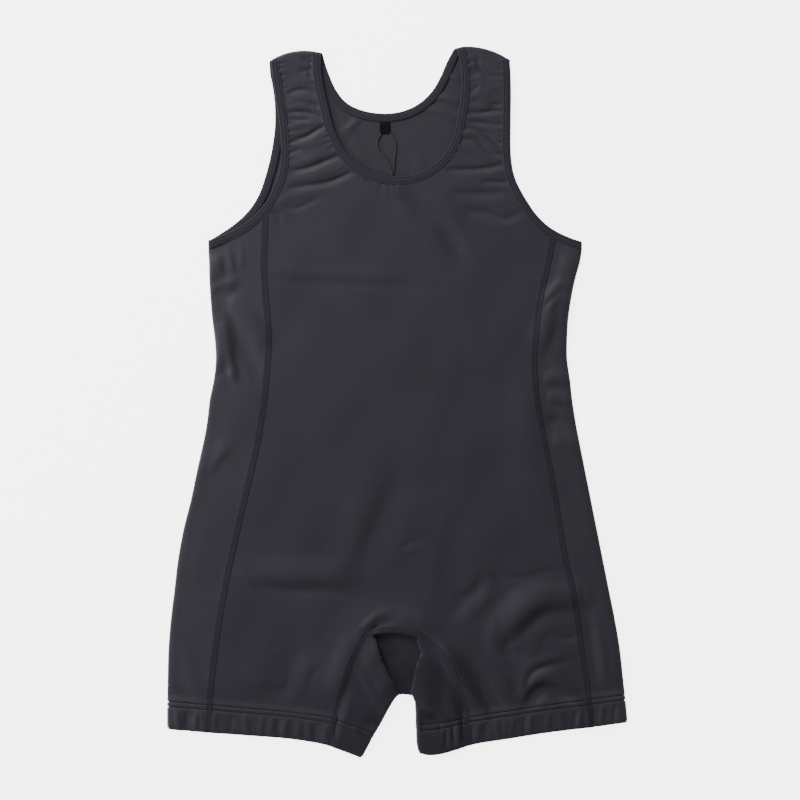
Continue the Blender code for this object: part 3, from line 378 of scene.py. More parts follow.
# %% Folds of the front, by place: half width, height, line of points x, y
FRONT_FOLDS = {
    "chest and neck": (
        (8, -0.5, ((-135, 139), (-119, 136), (-80, 134), (-16, 131), (35, 128))),
        (9, 0.5, ((-133, 147), (-108, 144), (-58, 142), (2, 138))),
        (13, -1.9, ((7, 235), (21, 220), (43, 203), (57, 183), (68, 167))),
        (14, 0.8, ((-7, 226), (11, 204), (33, 185), (51, 160))),
        (14, 0.6, ((24, 235), (46, 219), (63, 198), (79, 178))),
    ),
    "belly": (
        (22, -0.9, ((-3, -86), (-25, -130), (-40, -174))),
        (20, 0.84, ((-25, -75), (-46, -125), (-64, -169))),
        (20, -0.9, ((63, -119), (52, -174), (52, -229))),
        (5, -0.9, ((4, -158), (14, -152), (24, -158))),
        (5, 0.63, ((6, -164), (15, -160), (25, -164))),
        (40, 0.7, ((-86, 79), (2, 62), (90, 73))),
        (45, 0.84, ((-75, -31), (2, -42), (79, -31))),
        (22, 0.9, ((139, 128), (138, 24), (141, -53), (149, -130))),
    ),
    "left leg": (
        (18, 2.6, ((-163, -181), (-124, -184), (-86, -184), (-58, -186))),
        (8, -0.9, ((-155, -199), (-124, -205), (-86, -205), (-58, -208))),
        (4, 0.7, ((-180, -186), (-166, -193), (-161, -202))),
        (22, -0.9, ((-135, -246), (-119, -262), (-124, -284))),
        (10, -1, ((-152, -310), (-135, -315), (-119, -309))),
        (12, 1.26, ((-95, -279), (-105, -293), (-112, -317))),
    ),
    "gusset seam": (
        (12, 1.26, ((-72, -317), (-63, -284), (-51, -253))),
        (3.6, 1.7, ((-42, -255), (-34, -243), (-22, -233), (-7, -229))),
        (4, -2, ((-31, -251), (-22, -243), (-7, -240))),
        (10, 1.4, ((-3, -231), (19, -236), (37, -249))),
    ),
    "right leg": (
        (9, -1.2, ((131, -244), (121, -255), (118, -268), (125, -274), (136, -274))),
        (12, 1.1, ((196, -244), (173, -239), (157, -246), (147, -259), (146, -275))),
        (9, 1, ((108, -238), (101, -258), (105, -275), (118, -287))),
        (4.5, -0.9, ((103, -188), (112, -199), (125, -207))),
        (5, -0.8, ((101, -189), (134, -191), (156, -186), (169, -181))),
        (4, -0.7, ((145, -196), (165, -197), (184, -197))),
        (8, -1.3, ((90, -191), (84, -203), (70, -214))),
        (9, -1.1, ((70, -209), (64, -220), (58, -231))),
        (9, 0.9, ((101, -207), (88, -222), (70, -238))),
        (4, -1, ((109, -238), (114, -246), (121, -251))),
        (5, -1.2, ((174, -255), (184, -258), (195, -255))),
        (5, -1.5, ((139, -313), (145, -297), (162, -288), (184, -285))),
        (7, 0.9, ((134, -306), (143, -290), (162, -280), (187, -275))),
        (10, -2.2, ((141, -332), (146, -317), (160, -310), (172, -316), (185, -330))),
        (10, 2.4, ((134, -328), (139, -313), (152, -301), (169, -302), (189, -317), (198, -330))),
        (8, 0.9, ((156, -332), (164, -325), (174, -332))),
        (12, -3, ((65, -280), (77, -293), (88, -308), (99, -325), (109, -337))),
        (12, 1.8, ((88, -273), (103, -293), (116, -314), (123, -335))),
        (8, 0.9, ((55, -284), (65, -302), (75, -321), (86, -339))),
    ),
    "left side": (
        (5, 2.5, ((-202, 165), (-200, 154), (-197, 139))),
        (3.6, 1.12, ((-189, 169), (-185, 159), (-182, 145))),
        (3, -0.8, ((-196, 167), (-193, 154), (-190, 138))),
        (3.6, 0.53, ((-174, 176), (-172, 165), (-173, 149))),
        (6, -0.72, ((-210, 121), (-198, 119), (-183, 122), (-174, 128))),
        (6, 1.17, ((-209, 128), (-194, 130), (-178, 136))),
        (13, 2.8, ((-190, 116), (-175, 102), (-160, 86), (-148, 70))),
        (11, -1.6, ((-192, 96), (-178, 72), (-163, 50), (-152, 26))),
        (9, 4, ((-198, 92), (-195, 72), (-190, 52), (-184, 30))),
        (7, -1.4, ((-197, 44), (-190, 31), (-188, 20))),
        (12, 1.34, ((-215, -75), (-205, -59), (-187, -42))),
        (14, 1.18, ((-240, -273), (-229, -301), (-216, -323))),
    ),
    "right side": (
        (12, 1.5, ((191, 170), (190, 154), (186, 138))),
        (4.5, 1.6, ((189, 120), (176, 114), (165, 103))),
        (8, 2, ((162, 7), (176, 6), (190, 4))),
        (8, -1.89, ((163, -19), (176, -18), (193, -29))),
        (10, 1.8, ((167, -39), (180, -42), (196, -49))),
    ),
    "right leg's outside": (
        (12, 1.6, ((213, -246), (222, -273), (229, -306))),
        (9, -1.1, ((205, -227), (213, -262), (218, -306))),
    ),
    "left strap": (
        (4, -0.98, ((-105, 379), (-98, 375), (-96, 367))),
        (4, -1.07, ((-109, 365), (-100, 365), (-96, 357))),
        (5, 0.28, ((-117, 356), (-106, 354), (-97, 350))),
        (3.6, -1.36, ((-121, 341), (-110, 344), (-100, 344), (-92, 339))),
        (4.5, 0.38, ((-120, 332), (-108, 335), (-97, 334), (-89, 329))),
        (3.2, -1.16, ((-98, 330), (-92, 328), (-88, 323))),
        (4.2, 0.39, ((-121, 325), (-110, 326), (-99, 323))),
        (3.4, -1.45, ((-122, 319), (-108, 320), (-95, 318), (-84, 313))),
        (3, -0.98, ((-121, 312), (-108, 311), (-97, 311))),
        (5, 0.44, ((-120, 301), (-105, 307), (-86, 309))),
        (3.8, -1.75, ((-118, 288), (-102, 293), (-90, 300), (-82, 303))),
        (6, 0.33, ((-117, 280), (-99, 285), (-79, 292))),
        (3, -0.98, ((-119, 276), (-112, 278), (-106, 278))),
        (5, 0.38, ((-118, 264), (-99, 268), (-79, 277))),
        (4.4, -1.75, ((-118, 255), (-99, 259), (-79, 267), (-62, 273))),
        (6, 0.43, ((-118, 247), (-97, 249), (-75, 255), (-57, 263))),
        (4.6, -1.84, ((-120, 237), (-99, 240), (-75, 244), (-52, 254))),
        (6, 0.44, ((-124, 226), (-110, 229), (-95, 231))),
        (4, -0.82, ((-127, 215), (-112, 215), (-99, 220), (-88, 226))),
        (4, 0.33, ((-132, 219), (-127, 223), (-119, 225))),
        (4, -0.98, ((-139, 210), (-133, 207), (-130, 198))),
    ),
    "right strap": (
        (5, 0.29, ((92, 381), (98, 373), (105, 367), (114, 365))),
        (4, -0.91, ((86, 378), (88, 369), (97, 362), (109, 358))),
        (3, -0.7, ((79, 364), (84, 362), (88, 363))),
        (3, -0.7, ((78, 343), (84, 345), (88, 348))),
        (4, 0.27, ((79, 337), (88, 339), (95, 334))),
        (3, -0.7, ((78, 330), (85, 331), (91, 328))),
        (4.5, 0.3, ((97, 334), (99, 343), (108, 346), (116, 345))),
        (3.6, -0.99, ((101, 328), (108, 328), (116, 329))),
        (3.6, -1.57, ((75, 320), (90, 319), (103, 321), (116, 320))),
        (3.8, 0.35, ((75, 313), (92, 314), (114, 313))),
        (3.2, -1.16, ((75, 308), (92, 308), (113, 304))),
        (3.4, 0.29, ((79, 303), (95, 301), (112, 296))),
        (3, -1.33, ((72, 302), (87, 300), (100, 291), (113, 280))),
        (3.2, 0.48, ((72, 297), (86, 295), (100, 285), (113, 274))),
        (3.4, -1.41, ((69, 290), (84, 289), (99, 277), (113, 269))),
        (5, 0.3, ((68, 280), (84, 277), (99, 268))),
        (4.6, -1.5, ((55, 257), (77, 257), (99, 259), (118, 264))),
        (5, 0.32, ((95, 251), (106, 252), (118, 255))),
        (4.2, -1.24, ((91, 244), (106, 243), (123, 243))),
        (7, 0.29, ((63, 244), (79, 243), (92, 237))),
        (6, -0.91, ((57, 232), (87, 231), (116, 232))),
        (7, 0.27, ((70, 221), (99, 220), (125, 222))),
        (6, -1.16, ((73, 212), (96, 210), (116, 203), (135, 212))),
        (8, 0.24, ((79, 199), (107, 194), (136, 198))),
    ),
    "large ones on the right": (
        (19, 5.2, (
            (198, -207), (174, -208), (157, -210), (143, -216), (131, -226), (121, -238), (112, -248))),
        (11, 3.2, ((43, -262), (54, -281), (76, -312), (96, -337))),
        (7, 1.9, ((187, 134), (173, 126), (158, 114))),
        (15, 2.7, ((177, 122), (164, 95), (151, 64))),
        (9, 2.2, ((157, 28), (174, 28), (190, 33))),
    ),
}
FOLDS = [fold for folds in FRONT_FOLDS.values() for fold in folds]
print("folds of the front:", len(FOLDS), "in", len(FRONT_FOLDS), "places")

# %% Folds of the back that show inside the neck: half width, height, line of points x, y
BACK_FOLDS = (
    (5, 1.1, ((-44, 313), (-53, 303), (-63, 295))),
    (6, 0.8, ((-51, 288), (-45, 277), (-36, 268))),
    (4, 1.2, ((54, 361), (62, 357), (69, 352))),
    (5, 1.3, ((40, 337), (53, 335), (66, 329))),
    (5, 1, ((30, 324), (46, 320), (61, 310))),
    (5, 0.6, ((23, 273), (24, 264), (22, 255))),
)
print("folds inside the back:", len(BACK_FOLDS))

# %% Small upright wrinkles in the turned hems: x
HEM_WRINKLES = (
    -242, -232, -222, -215, -202, -183, -167, -150, -139, -132, -124, -109, -98, -91, -80, -72,
    87, 96, 109, 118, 125, 139, 145, 165, 179, 195, 200, 209, 224, 238,
)
print("hem wrinkles:", len(HEM_WRINKLES))

# %% Height of the front cloth
FOLD_END = 0.25
STEEP_WAY = np.array([-0.5, 0.866])
LOFT_START, LOFT_RISE = -346.0, 44.0
SEAM_LIFT, SEAM_LIFT_REACH = 3.2, 46.0
SEAM_LIFT_START, SEAM_LIFT_RISE = -356.0, 60.0
BAND_REACH = 30.0
SOFT_WAVES = (
    (0.9, 0.4, 96.0, 0.22, 0.3), (0.2, 1.0, 128.0, 0.25, 1.9), (-0.7, 0.7, 71.0, 0.16, 4.1),
    (1.0, -0.3, 53.0, 0.10, 2.6), (0.5, 0.9, 41.0, 0.07, 5.2),
)


def folds_at(table, x, y):
    """Height that the folds of a table add at each place, steeper on one side than on the other."""
    lift = np.zeros(x.shape)
    for half_width, height, line in table:
        ends = np.array(line, dtype=float)
        low, high = ends.min(axis=0) - 2 * half_width, ends.max(axis=0) + 2 * half_width
        inside = (x > low[0]) & (x < high[0]) & (y > low[1]) & (y < high[1])
        if not inside.any():
            continue
        curve = smooth_line(line, 4) - STEEP_WAY * half_width * (0.5 if height > 0 else 0.3)
        distance, share = near(curve, x[inside], y[inside])
        spot = share * (len(curve) - 1)
        from_x = x[inside] - np.interp(spot, np.arange(len(curve)), curve[:, 0])
        from_y = y[inside] - np.interp(spot, np.arange(len(curve)), curve[:, 1])
        side = (from_x * STEEP_WAY[0] + from_y * STEEP_WAY[1]) / np.maximum(distance, 0.1)
        reach = half_width * (1.15 + 0.4 * side * math.copysign(1.0, height))
        across = (1 - np.minimum(distance / reach, 1.0) ** 2) ** 2
        fade = FOLD_END + (1 - FOLD_END) * np.sin(np.pi * share) ** 0.7
        lift[inside] += height * across * fade
    return lift


def soft_waves(x, y):
    """Slow waves that keep the cloth from looking ironed."""
    lift = np.zeros(x.shape)
    for across, along, length, height, phase in SOFT_WAVES:
        lift += height * np.sin((x * across + y * along) * 2 * np.pi / length + phase)
    return lift


def puckers(distance, run):
    """Small gathers that a stretched binding draws in the cloth beside it."""
    beat = np.sin(run / 1.05 + 1.4 * np.sin(run / 7.3)) + 0.5 * np.sin(run / 1.9 + 0.7)
    swell = 0.55 + 0.45 * np.sin(run / 13.0 + 0.9)
    return 0.6 * beat * swell * np.exp(-np.maximum(distance - 8.0, 0.0) / 5.0) * ease((distance - 5.0) / 3.0)


def near_strap_top(x, y):
    """1 at the folded top of a strap, 0 well below it."""
    distance = np.minimum(near(strap_top[-1][::3], x, y)[0], near(strap_top[1][::3], x, y)[0])
    return 1 - ease((distance - 6.0) / TURN_REACH)


def band_level(x, y, base):
    """Mid height of a front binding: raised where it lies on the back one and round the shoulder."""
    level = base + (STRAP_LIFT - base) * ease((y - 262.0) / 50.0)
    return np.maximum(level, STRAP_LIFT + (SHOULDER_LIFT - STRAP_LIFT) * near_strap_top(x, y))


def front_level(x, y):
    """Height of the inner face of the front cloth."""
    risen = ease((y - LOFT_START) / LOFT_RISE)
    at_gusset = 1 - ease(near(smooth_line(GUSSET, 5)[:, :2], x, y)[0] / SEAM_LIFT_REACH)
    lofted = LOFT * risen + SEAM_LIFT * at_gusset * ease((y - SEAM_LIFT_START) / SEAM_LIFT_RISE)
    level = REST_LEVEL + lofted + soft_waves(x, y) * risen
    gathers = np.zeros(x.shape)
    for edge, base in ((neck_front, BAND_LIFT), (arm_front[-1], STRAP_LIFT), (arm_front[1], STRAP_LIFT)):
        distance, along = near(edge[::4], x, y)
        share = 1 - ease((distance - BAND_WIDTH) / BAND_REACH)
        level = level + share * (band_level(x, y, base) - WALL / 2 - level)
        gathers = gathers + puckers(distance, along * run_along(edge)[-1]) * ease((y - 205.0) / 45.0)
    level = level + near_strap_top(x, y) * (SHOULDER_LIFT - WALL / 2 - level)
    return np.maximum(level + gathers + folds_at(FOLDS, x, y), REST_LEVEL)


def back_level(x, y):
    """Height of the inner face of the back cloth, flat on the floor outside its folds."""
    return WALL + folds_at(BACK_FOLDS, x, y)


sample = front_level(np.array([0.0, -100.0]), np.array([0.0, -190.0]))
print("height of the front at two places:", np.round(sample, 2), "mm")

# %% [markdown]
# ## Finishes
#
# The cloth is a smooth warp knit with elastane: fine upright wales, finer courses across them, and
# a satin gloss that comes from the filament yarn. Two crossed wave textures make the loops, a noise
# roughens them, and a slow noise shifts the colour between charcoal and a faint violet. The gaps
# between the loops are painted darker, a painted shade in the knit's hollows. The grain is a
# fraction of a millimetre, so it only tells close up, and from far it just softens the gloss.
# The gusset's knit is a little duller, and its colour is a little darker as a painted shade for the
# well between its wings.


# %% Node helpers
def add_node(tree, kind, settings=(), **values):
    """A shader node with its settings, and its inputs set or linked."""
    made = tree.nodes.new(kind)
    for name, value in settings:
        setattr(made, name, value)
    for name, value in values.items():
        socket = made.inputs[int(name[1:])] if name[0] == "i" and name[1:].isdigit() else made.inputs[name]
        if isinstance(value, bpy.types.NodeSocket):
            tree.links.new(value, socket)
        else:
            socket.default_value = value
    return made


def wave(tree, place, direction, pitch):
    """Bands across one direction, a pitch in metres apart."""
    settings = (("bands_direction", direction),)
    return add_node(tree, "ShaderNodeTexWave", settings, Vector=place, Scale=0.314 / pitch).outputs["Fac"]


def noise(tree, place, **values):
    """A soft pattern without an order."""
    return add_node(tree, "ShaderNodeTexNoise", Vector=place, **values).outputs["Fac"]


def maths(tree, operation, first, second):
    """A sum, product or other result of two values."""
    return add_node(tree, "ShaderNodeMath", (("operation", operation),), i0=first, i1=second).outputs[0]


def mixed(tree, share, first, second):
    """A colour between two others."""
    made = add_node(tree, "ShaderNodeMix", (("data_type", "RGBA"),), i0=share, i6=first, i7=second)
    return made.outputs[2]


def new_finish(name):
    """A material with its node tree and its surface node."""
    made = bpy.data.materials.new(name)
    made.use_nodes = True
    return made, made.node_tree, made.node_tree.nodes["Principled BSDF"]


def grade(tree, value, low, high):
    """A value spread so that low becomes 0 and high becomes 1."""
    return add_node(tree, "ShaderNodeMapRange", i0=value, i1=low, i2=high).outputs[0]


def darker(colour, share):
    """A colour darkened to a share of itself, with full cover."""
    return (*[part * share for part in colour], 1.0)


def dress(tree, surface, colour, relief, strength, depth, rough, gloss):
    """Give a surface its colour, a relief of a depth in metres, and its gloss."""
    tree.links.new(colour, surface.inputs["Base Color"])
    bump = add_node(tree, "ShaderNodeBump", Height=relief, Strength=strength, Distance=depth)
    tree.links.new(bump.outputs["Normal"], surface.inputs["Normal"])
    surface.inputs["Roughness"].default_value = rough
    surface.inputs["Specular IOR Level"].default_value = gloss
    surface.inputs["Sheen Weight"].default_value = 0.08


# %% Knit and elastic finishes
KNIT_PITCH = (0.0007, 0.0005)


def cloth_finish(name, dark, light, pitch, rough, gloss, coords="Object"):
    """A knitted finish with loops of a pitch across and along, in metres."""
    made, tree, surface = new_finish(name)
    place = add_node(tree, "ShaderNodeTexCoord").outputs[coords]
    loops = maths(tree, "MULTIPLY", wave(tree, place, "X", pitch[0]), wave(tree, place, "Y", pitch[1]))
    fuzz = noise(tree, place, Scale=1900.0, Detail=2.0)
    slow = noise(tree, place, Scale=11.0, Detail=5.0, Roughness=0.6)
    drawn = add_node(tree, "ShaderNodeMapping", Vector=place, Scale=(230.0, 5.0, 1.0))
    streaks = noise(tree, drawn.outputs["Vector"], Scale=1.0, Detail=3.0)
    blend = maths(tree, "ADD", maths(tree, "MULTIPLY", slow, 0.65), maths(tree, "MULTIPLY", streaks, 0.35))
    tone = mixed(tree, grade(tree, blend, 0.36, 0.64), (*dark, 1.0), (*light, 1.0))
    # Between the loops the colour is painted darker: painted shade in the hollows of the knit.
    loop_colour_with_painted_shade = mixed(tree, grade(tree, loops, -0.6, 0.9), darker(dark, 0.62), tone)
    relief = maths(tree, "ADD", loops, maths(tree, "MULTIPLY", fuzz, 0.6))
    dress(tree, surface, loop_colour_with_painted_shade, relief, 0.35, 0.00012, rough, gloss)
    surface.inputs["Sheen Roughness"].default_value = 0.42
    surface.inputs["Sheen Tint"].default_value = (0.86, 0.85, 1.0, 1.0)
    return made


knit = cloth_finish("charcoal knit", (0.0225, 0.0205, 0.03), (0.0285, 0.026, 0.037), KNIT_PITCH, 0.6, 0.36)
side_knit = cloth_finish(
    "charcoal side knit", (0.024, 0.022, 0.0315), (0.0305, 0.028, 0.039), KNIT_PITCH, 0.58, 0.4)
# The gusset's colour is a little darker than the knit's, a painted shade for the well between its wings.
gusset_knit_painted_darker = cloth_finish(
    "charcoal gusset knit, painted darker", (0.0214, 0.0195, 0.0285), (0.0272, 0.0248, 0.0353), KNIT_PITCH, 0.68, 0.26)
elastic = cloth_finish(
    "elastic binding", (0.03, 0.0279, 0.0382), (0.0375, 0.0346, 0.0474), (0.0011, 0.0006), 0.75, 0.14, "UV")
seam_tape = cloth_finish(
    "flat seam", (0.0298, 0.0274, 0.0385), (0.0368, 0.0339, 0.0471), (0.0012, 0.0013), 0.75, 0.15, "UV")
print("finishes:", [made.name for made in (knit, side_knit, gusset_knit_painted_darker, elastic, seam_tape)])


# %% Thread, label and cord finishes
def yarn_finish(name, colour, pitch, rough):
    """A twisted yarn: slanting plies and a little fluff, with painted shade in the grooves between the plies.
    """
    made, tree, surface = new_finish(name)
    place = add_node(tree, "ShaderNodeTexCoord").outputs["Object"]
    turned = add_node(tree, "ShaderNodeMapping", Vector=place, Rotation=(0.4, 0.3, 0.8))
    plies = wave(tree, turned.outputs["Vector"], "X", pitch)
    fluff = noise(tree, place, Scale=2400.0, Detail=2.0)
    # The grooves between the plies are painted darker, a painted shade, mixed with the random fluff.
    tone = mixed(tree, maths(tree, "MULTIPLY", plies, fluff), darker(colour, 0.6), (*colour, 1.0))
    dress(tree, surface, tone, plies, 0.4, 0.00008, rough, 0.2)
    return made


thread = yarn_finish("sewing thread", (0.013, 0.012, 0.016), 0.0005, 0.7)
cord_yarn = yarn_finish("loop cord", (0.060, 0.058, 0.064), 0.0007, 0.55)
woven = cloth_finish(
    "woven label", (0.0035, 0.0035, 0.0045), (0.006, 0.006, 0.007), (0.0004, 0.0004), 0.8, 0.1)
print("small finishes:", thread.name, "/", cord_yarn.name, "/", woven.name)

# %% [markdown]
# ## Laying out a panel
#
# A panel is made as one grid. Its rows run across the garment from one cut edge to the other, close
# together in the hem and in the gathered strap and wider apart on the plain body. The grid's own
# squares come from the grid operator; only the place of each corner is worked out here. The same
# helper serves all the cut pieces.

# %% Rows up a leg
HEM_ROWS = (
    0, 1, 2.4, 5, 8, 11, 14, 17, 20, 22, 23.2, 24, 24.5, 25,
    25.8, 27, 28.4, 29.4, 30, 30.6, 31.6, 33, 35, 37, 39,
)
LEG_ROWS = 25
CROTCH_ROWS = 6
BODY_ROWS = 118
YOKE_ROWS = 14
STRAP_ROWS = 108
FRONT_COLUMNS = 58
LEG_TOP = -256.0
BODY_BOTTOM = -240.0
CENTRE_TOP = 205.0
FAR_UP = 999.0


def leg_marks(length, parts=LEG_ROWS):
    """Distances up a leg from its hem, close together at the stitching."""
    return np.concatenate([HEM_ROWS, np.linspace(HEM_ROWS[-1], length, parts + 1)[1:]])


def hem_marks(count):
    """Each row's distance from the hem, with all the rows above the hem's own taken as far up."""
    marks = np.full(count, FAR_UP)
    marks[:len(HEM_ROWS)] = HEM_ROWS
    return marks


def up_leg(line):
    """Points up a leg's line at its marks."""
    return at(line, leg_marks(run_along(line)[-1]))


def doubled(mark):
    """1 where the turned hem makes the cloth double, 0 above it."""
    return 1 - ease((mark - HEM_DEPTH + 3.0) / 11.0)


def hem_relief(x, mark):
    """Stitch grooves, rounded fold and small upright wrinkles of a hem."""
    relief = -0.7 * (1 - ease(mark / 3.0)) * np.ones(x.shape)
    for stitched in HEM_STITCHES:
        relief = relief - 0.7 * np.exp(-((mark - stitched) / 1.0) ** 2)
    window = ease(mark / 5.0) * (1 - ease((mark - 18.0) / 5.0))
    for k, place in enumerate(HEM_WRINKLES):
        lean = place + (mark - 12.0) * (0.12 if k % 3 else -0.15)
        height = (0.9, -0.7, 1.1, 0.7)[k % 4]
        relief = relief + height * window * np.exp(-((x - lean) / 2.6) ** 2)
    return relief


print("rows in a front half:", len(HEM_ROWS) + LEG_ROWS + CROTCH_ROWS + BODY_ROWS + YOKE_ROWS + STRAP_ROWS)


# %% Seam and fold lines
def level_line(column):
    """The smooth line up the body through one column of the levels."""
    return smooth_line([(row[column], row[0]) for row in reversed(SECTIONS)])


def meets_armhole(seam, edge):
    """Where a side seam runs into the cloth edge of an armhole."""
    low = edge[edge[:, 1] < 235.0]
    low = low[np.argsort(low[:, 0])]
    slope = (seam[-1, 0] - seam[-8, 0]) / (seam[-1, 1] - seam[-8, 1])
    x, y = seam[-1]
    for _ in range(9):
        y = np.interp(x, low[:, 0], low[:, 1])
        x = seam[-1, 0] + slope * (y - seam[-1, 1])
    return np.array([x, y])


def seam_line(side, arm):
    """A side seam from the hem to the armhole, on the front or behind."""
    line = level_line(2 if side < 0 else 3)
    top = meets_armhole(line, cloth_edge(arm[side]))
    hem = np.array(HEM[side][1])
    if arm is arm_back:
        line = line[line[:, 1] < 90.0]
    line = line[(line[:, 1] > hem[1] + 1.0) & (line[:, 1] < top[1] - 1.0)]
    return np.vstack([hem, line, top])


def seam_places(side, arm):
    """Places up a side seam, one for each row of the panels beside it."""
    line = seam_line(side, arm)
    leg = up_leg(between(line, line[0, 1], LEG_TOP))
    crotch = spaced(between(line, LEG_TOP, BODY_BOTTOM), CROTCH_ROWS)[1:]
    return np.vstack([leg, crotch, spaced(between(line, BODY_BOTTOM, line[-1, 1]), BODY_ROWS)[1:]])


def gusset_halves(side):
    """The gusset's sections up one leg, and on over the crotch to its middle."""
    line = smooth_line(GUSSET)
    middle = GUSSET_CENTRE * 10
    if side < 0:
        corner = GUSSET_CORNER_LEFT * 10
        return line[:corner + 1], line[corner:middle + 1]
    corner = GUSSET_CORNER_RIGHT * 10
    return line[corner:][::-1], line[middle:corner + 1][::-1]


print("left side seam:", round(run_along(seam_line(-1, arm_front))[-1]), "mm")


# %% Half a panel
HEM_BOW_REACH = 60.0
TOP_BOW_REACH = 50.0
FRONT_YOKE = 42.0
BACK_YOKE = 62.0


def across(starts, ends, columns, bow=None, shares=None):
    """Rows of points between two rails, bent by shares of the bow of a neighbouring edge."""
    u = np.linspace(0.0, 1.0, columns + 1)[None, :, None]
    rows = starts[:, None, :] + (ends - starts)[:, None, :] * u
    if bow is not None:
        chord = bow[0] + (bow[-1] - bow[0]) * u[0]
        rows = rows + shares[:, None, None] * (bow - chord)[None]
    return rows


def hem_bow(side):
    """The curve of the hem between the side seam and the gusset."""
    line = smooth_line(HEM[side])
    inner, outer = abs(GUSSET[0][0]) - 1.0, abs(HEM[side][1][0]) + 1.0
    return spaced(line[(abs(line[:, 0]) > inner) & (abs(line[:, 0]) < outer)], FRONT_COLUMNS)


def top_bow(side):
    """The curve of a strap's folded top between its bindings, from the arm to the neck."""
    arm_end = cloth_edge(arm_front[side])[0]
    neck_end = cloth_edge(neck_front)[0 if side < 0 else -1]
    line = strap_top[side]
    low, high = sorted((arm_end[0], neck_end[0]))
    line = line[np.argsort(line[:, 0])]
    marks = np.linspace(low, high, FRONT_COLUMNS + 1)
    curve = np.column_stack([marks, np.interp(marks, line[:, 0], line[:, 1])])
    return curve if side < 0 else curve[::-1]


def half_panel(side, arm, neck, yoke, stop, hem_rise=0.0):
    """Places of half a panel from its hem up into its strap, and each row's distance from the hem."""
    seam = seam_places(side, arm)
    leg, over = gusset_halves(side)
    inner = np.vstack([up_leg(leg)[:, :2], spaced(over, CROTCH_ROWS)[1:, :2]])
    neck_edge = cloth_edge(neck)
    low = int(np.argmin(neck_edge[:, 1]))
    necks = neck_edge[low::-1] if side < 0 else neck_edge[low:]
    share = (CENTRE_TOP - inner[-1, 1]) / (necks[0, 1] - inner[-1, 1])
    centre = inner[-1] + (necks[0] - inner[-1]) * share
    inner = np.vstack([inner, spaced(np.array([inner[-1], centre]), BODY_ROWS)[1:]])
    seam, inner = seam.copy(), inner.copy()
    seam[0, 1] += hem_rise
    inner[0, 1] += hem_rise
    near_hem = ease(1 - (seam[:, 1] - seam[0, 1]) / HEM_BOW_REACH)
    lower = across(seam, inner, FRONT_COLUMNS, hem_bow(side), near_hem)
    arm_edge = cloth_edge(arm[side])
    rail = arm_edge[arm_edge[:, 1] > seam[-1, 1] + 0.5]
    rail = np.vstack([seam[-1], rail[np.argsort(rail[:, 1])]])
    middle = spaced(np.array([centre, necks[0]]), YOKE_ROWS)[1:]
    yokes = across(at(rail, np.linspace(0.0, yoke, YOKE_ROWS + 1)[1:]), middle, FRONT_COLUMNS)
    length, neck_length = run_along(rail)[-1] - stop - yoke, run_along(necks)[-1] - stop
    shares = np.linspace(0.0, 1.0, STRAP_ROWS + 1)[1:]
    near_top = ease(1 - (1 - shares) * length / TOP_BOW_REACH)
    arms, necks = at(rail, yoke + length * shares), at(necks, neck_length * shares)
    straps = across(arms, necks, FRONT_COLUMNS, top_bow(side), near_top)
    rows = np.vstack([lower, yokes, straps])
    return rows, hem_marks(len(rows))


print("places across half a front:", FRONT_COLUMNS + 1)


# %% Cloth from grids
SHARP = 1.0


def lay_grid(form, places, flip, size=None):
    """A grid whose corners move to places in millimetres, with its cloth coordinates in metres."""
    rows, columns = places.shape[:2]
    made = bmesh.ops.create_grid(form, x_segments=columns - 1, y_segments=rows - 1, size=1.0)
    uv = form.loops.layers.uv.verify()
    width, length = size or (places[0, -1, 0] - places[0, 0, 0], places[-1, 0, 1] - places[0, 0, 1])
    faces = {face for corner in made["verts"] for face in corner.link_faces}
    spots = {}
    for corner in made["verts"]:
        i = round((corner.co.y + 1) / 2 * (rows - 1))
        k = round((corner.co.x + 1) / 2 * (columns - 1))
        spots[corner] = (i, k)
    for face in faces:
        for loop in face.loops:
            i, k = spots[loop.vert]
            loop[uv].uv = (k / (columns - 1) * width * MM, i / (rows - 1) * length * MM)
    for corner, (i, k) in spots.items():
        corner.co = places[i, k] * MM
    if flip:
        bmesh.ops.reverse_faces(form, faces=list(faces))
    return spots


def show(name, form, material):
    """An object in the scene for a finished mesh."""
    for face in form.faces:
        face.smooth = True
    mesh = bpy.data.meshes.new(name)
    form.to_mesh(mesh)
    form.free()
    mesh.materials.append(material)
    piece = bpy.data.objects.new(name, mesh)
    bpy.context.scene.collection.objects.link(piece)
    return piece


def cut_cloth(name, grids, material):
    """One cut piece from grids of places on its inner face, with the cloth's thickness outside them."""
    form = bmesh.new()
    hem = form.verts.layers.deform.verify()
    for places, double, flip in grids:
        for corner, spot in lay_grid(form, places, flip).items():
            corner[hem][0] = float(double[spot[0]])
    bmesh.ops.remove_doubles(form, verts=form.verts, dist=2e-5)
    for edge in form.edges:
        edge.smooth = not edge.is_boundary and edge.calc_face_angle(0.0) < SHARP
    piece = show(name, form, material)
    piece.vertex_groups.new(name="hem")
    wall = piece.modifiers.new("wall", "SOLIDIFY")
    wall.thickness = 2 * WALL * MM
    wall.offset = 1.0
    wall.vertex_group = "hem"
    wall.thickness_vertex_group = 0.5
    print(name, len(piece.data.polygons), "faces before the wall")
    return piece


# %% [markdown]
# ## Front panel
#
# The front is cut in one piece with both legs and both straps. It is laid out as two halves that
# meet on the middle line. Each strap goes on over the shoulder, where it turns and is sewn to the
# back a little way down.

# %% Straps over the shoulders
TURN_STEPS = 8
REAR_ROWS = 4
REAR_STRAP = 12.0
SHOULDER_RADIUS = (SHOULDER_LIFT - WALL / 2 - WALL) / 2
STRAP_STOP = SHOULDER_RADIUS + WALL


def behind_shoulder(side, distance):
    """A row across the back of a strap, a distance down from its folded top."""
    arm_edge, neck_edge = cloth_edge(arm_back[side]), cloth_edge(neck_back)
    neck_edge = neck_edge if side < 0 else neck_edge[::-1]
    mark = np.array([distance])
    return across(at(arm_edge, mark), at(neck_edge, mark), FRONT_COLUMNS, top_bow(side), np.ones(1))[0]


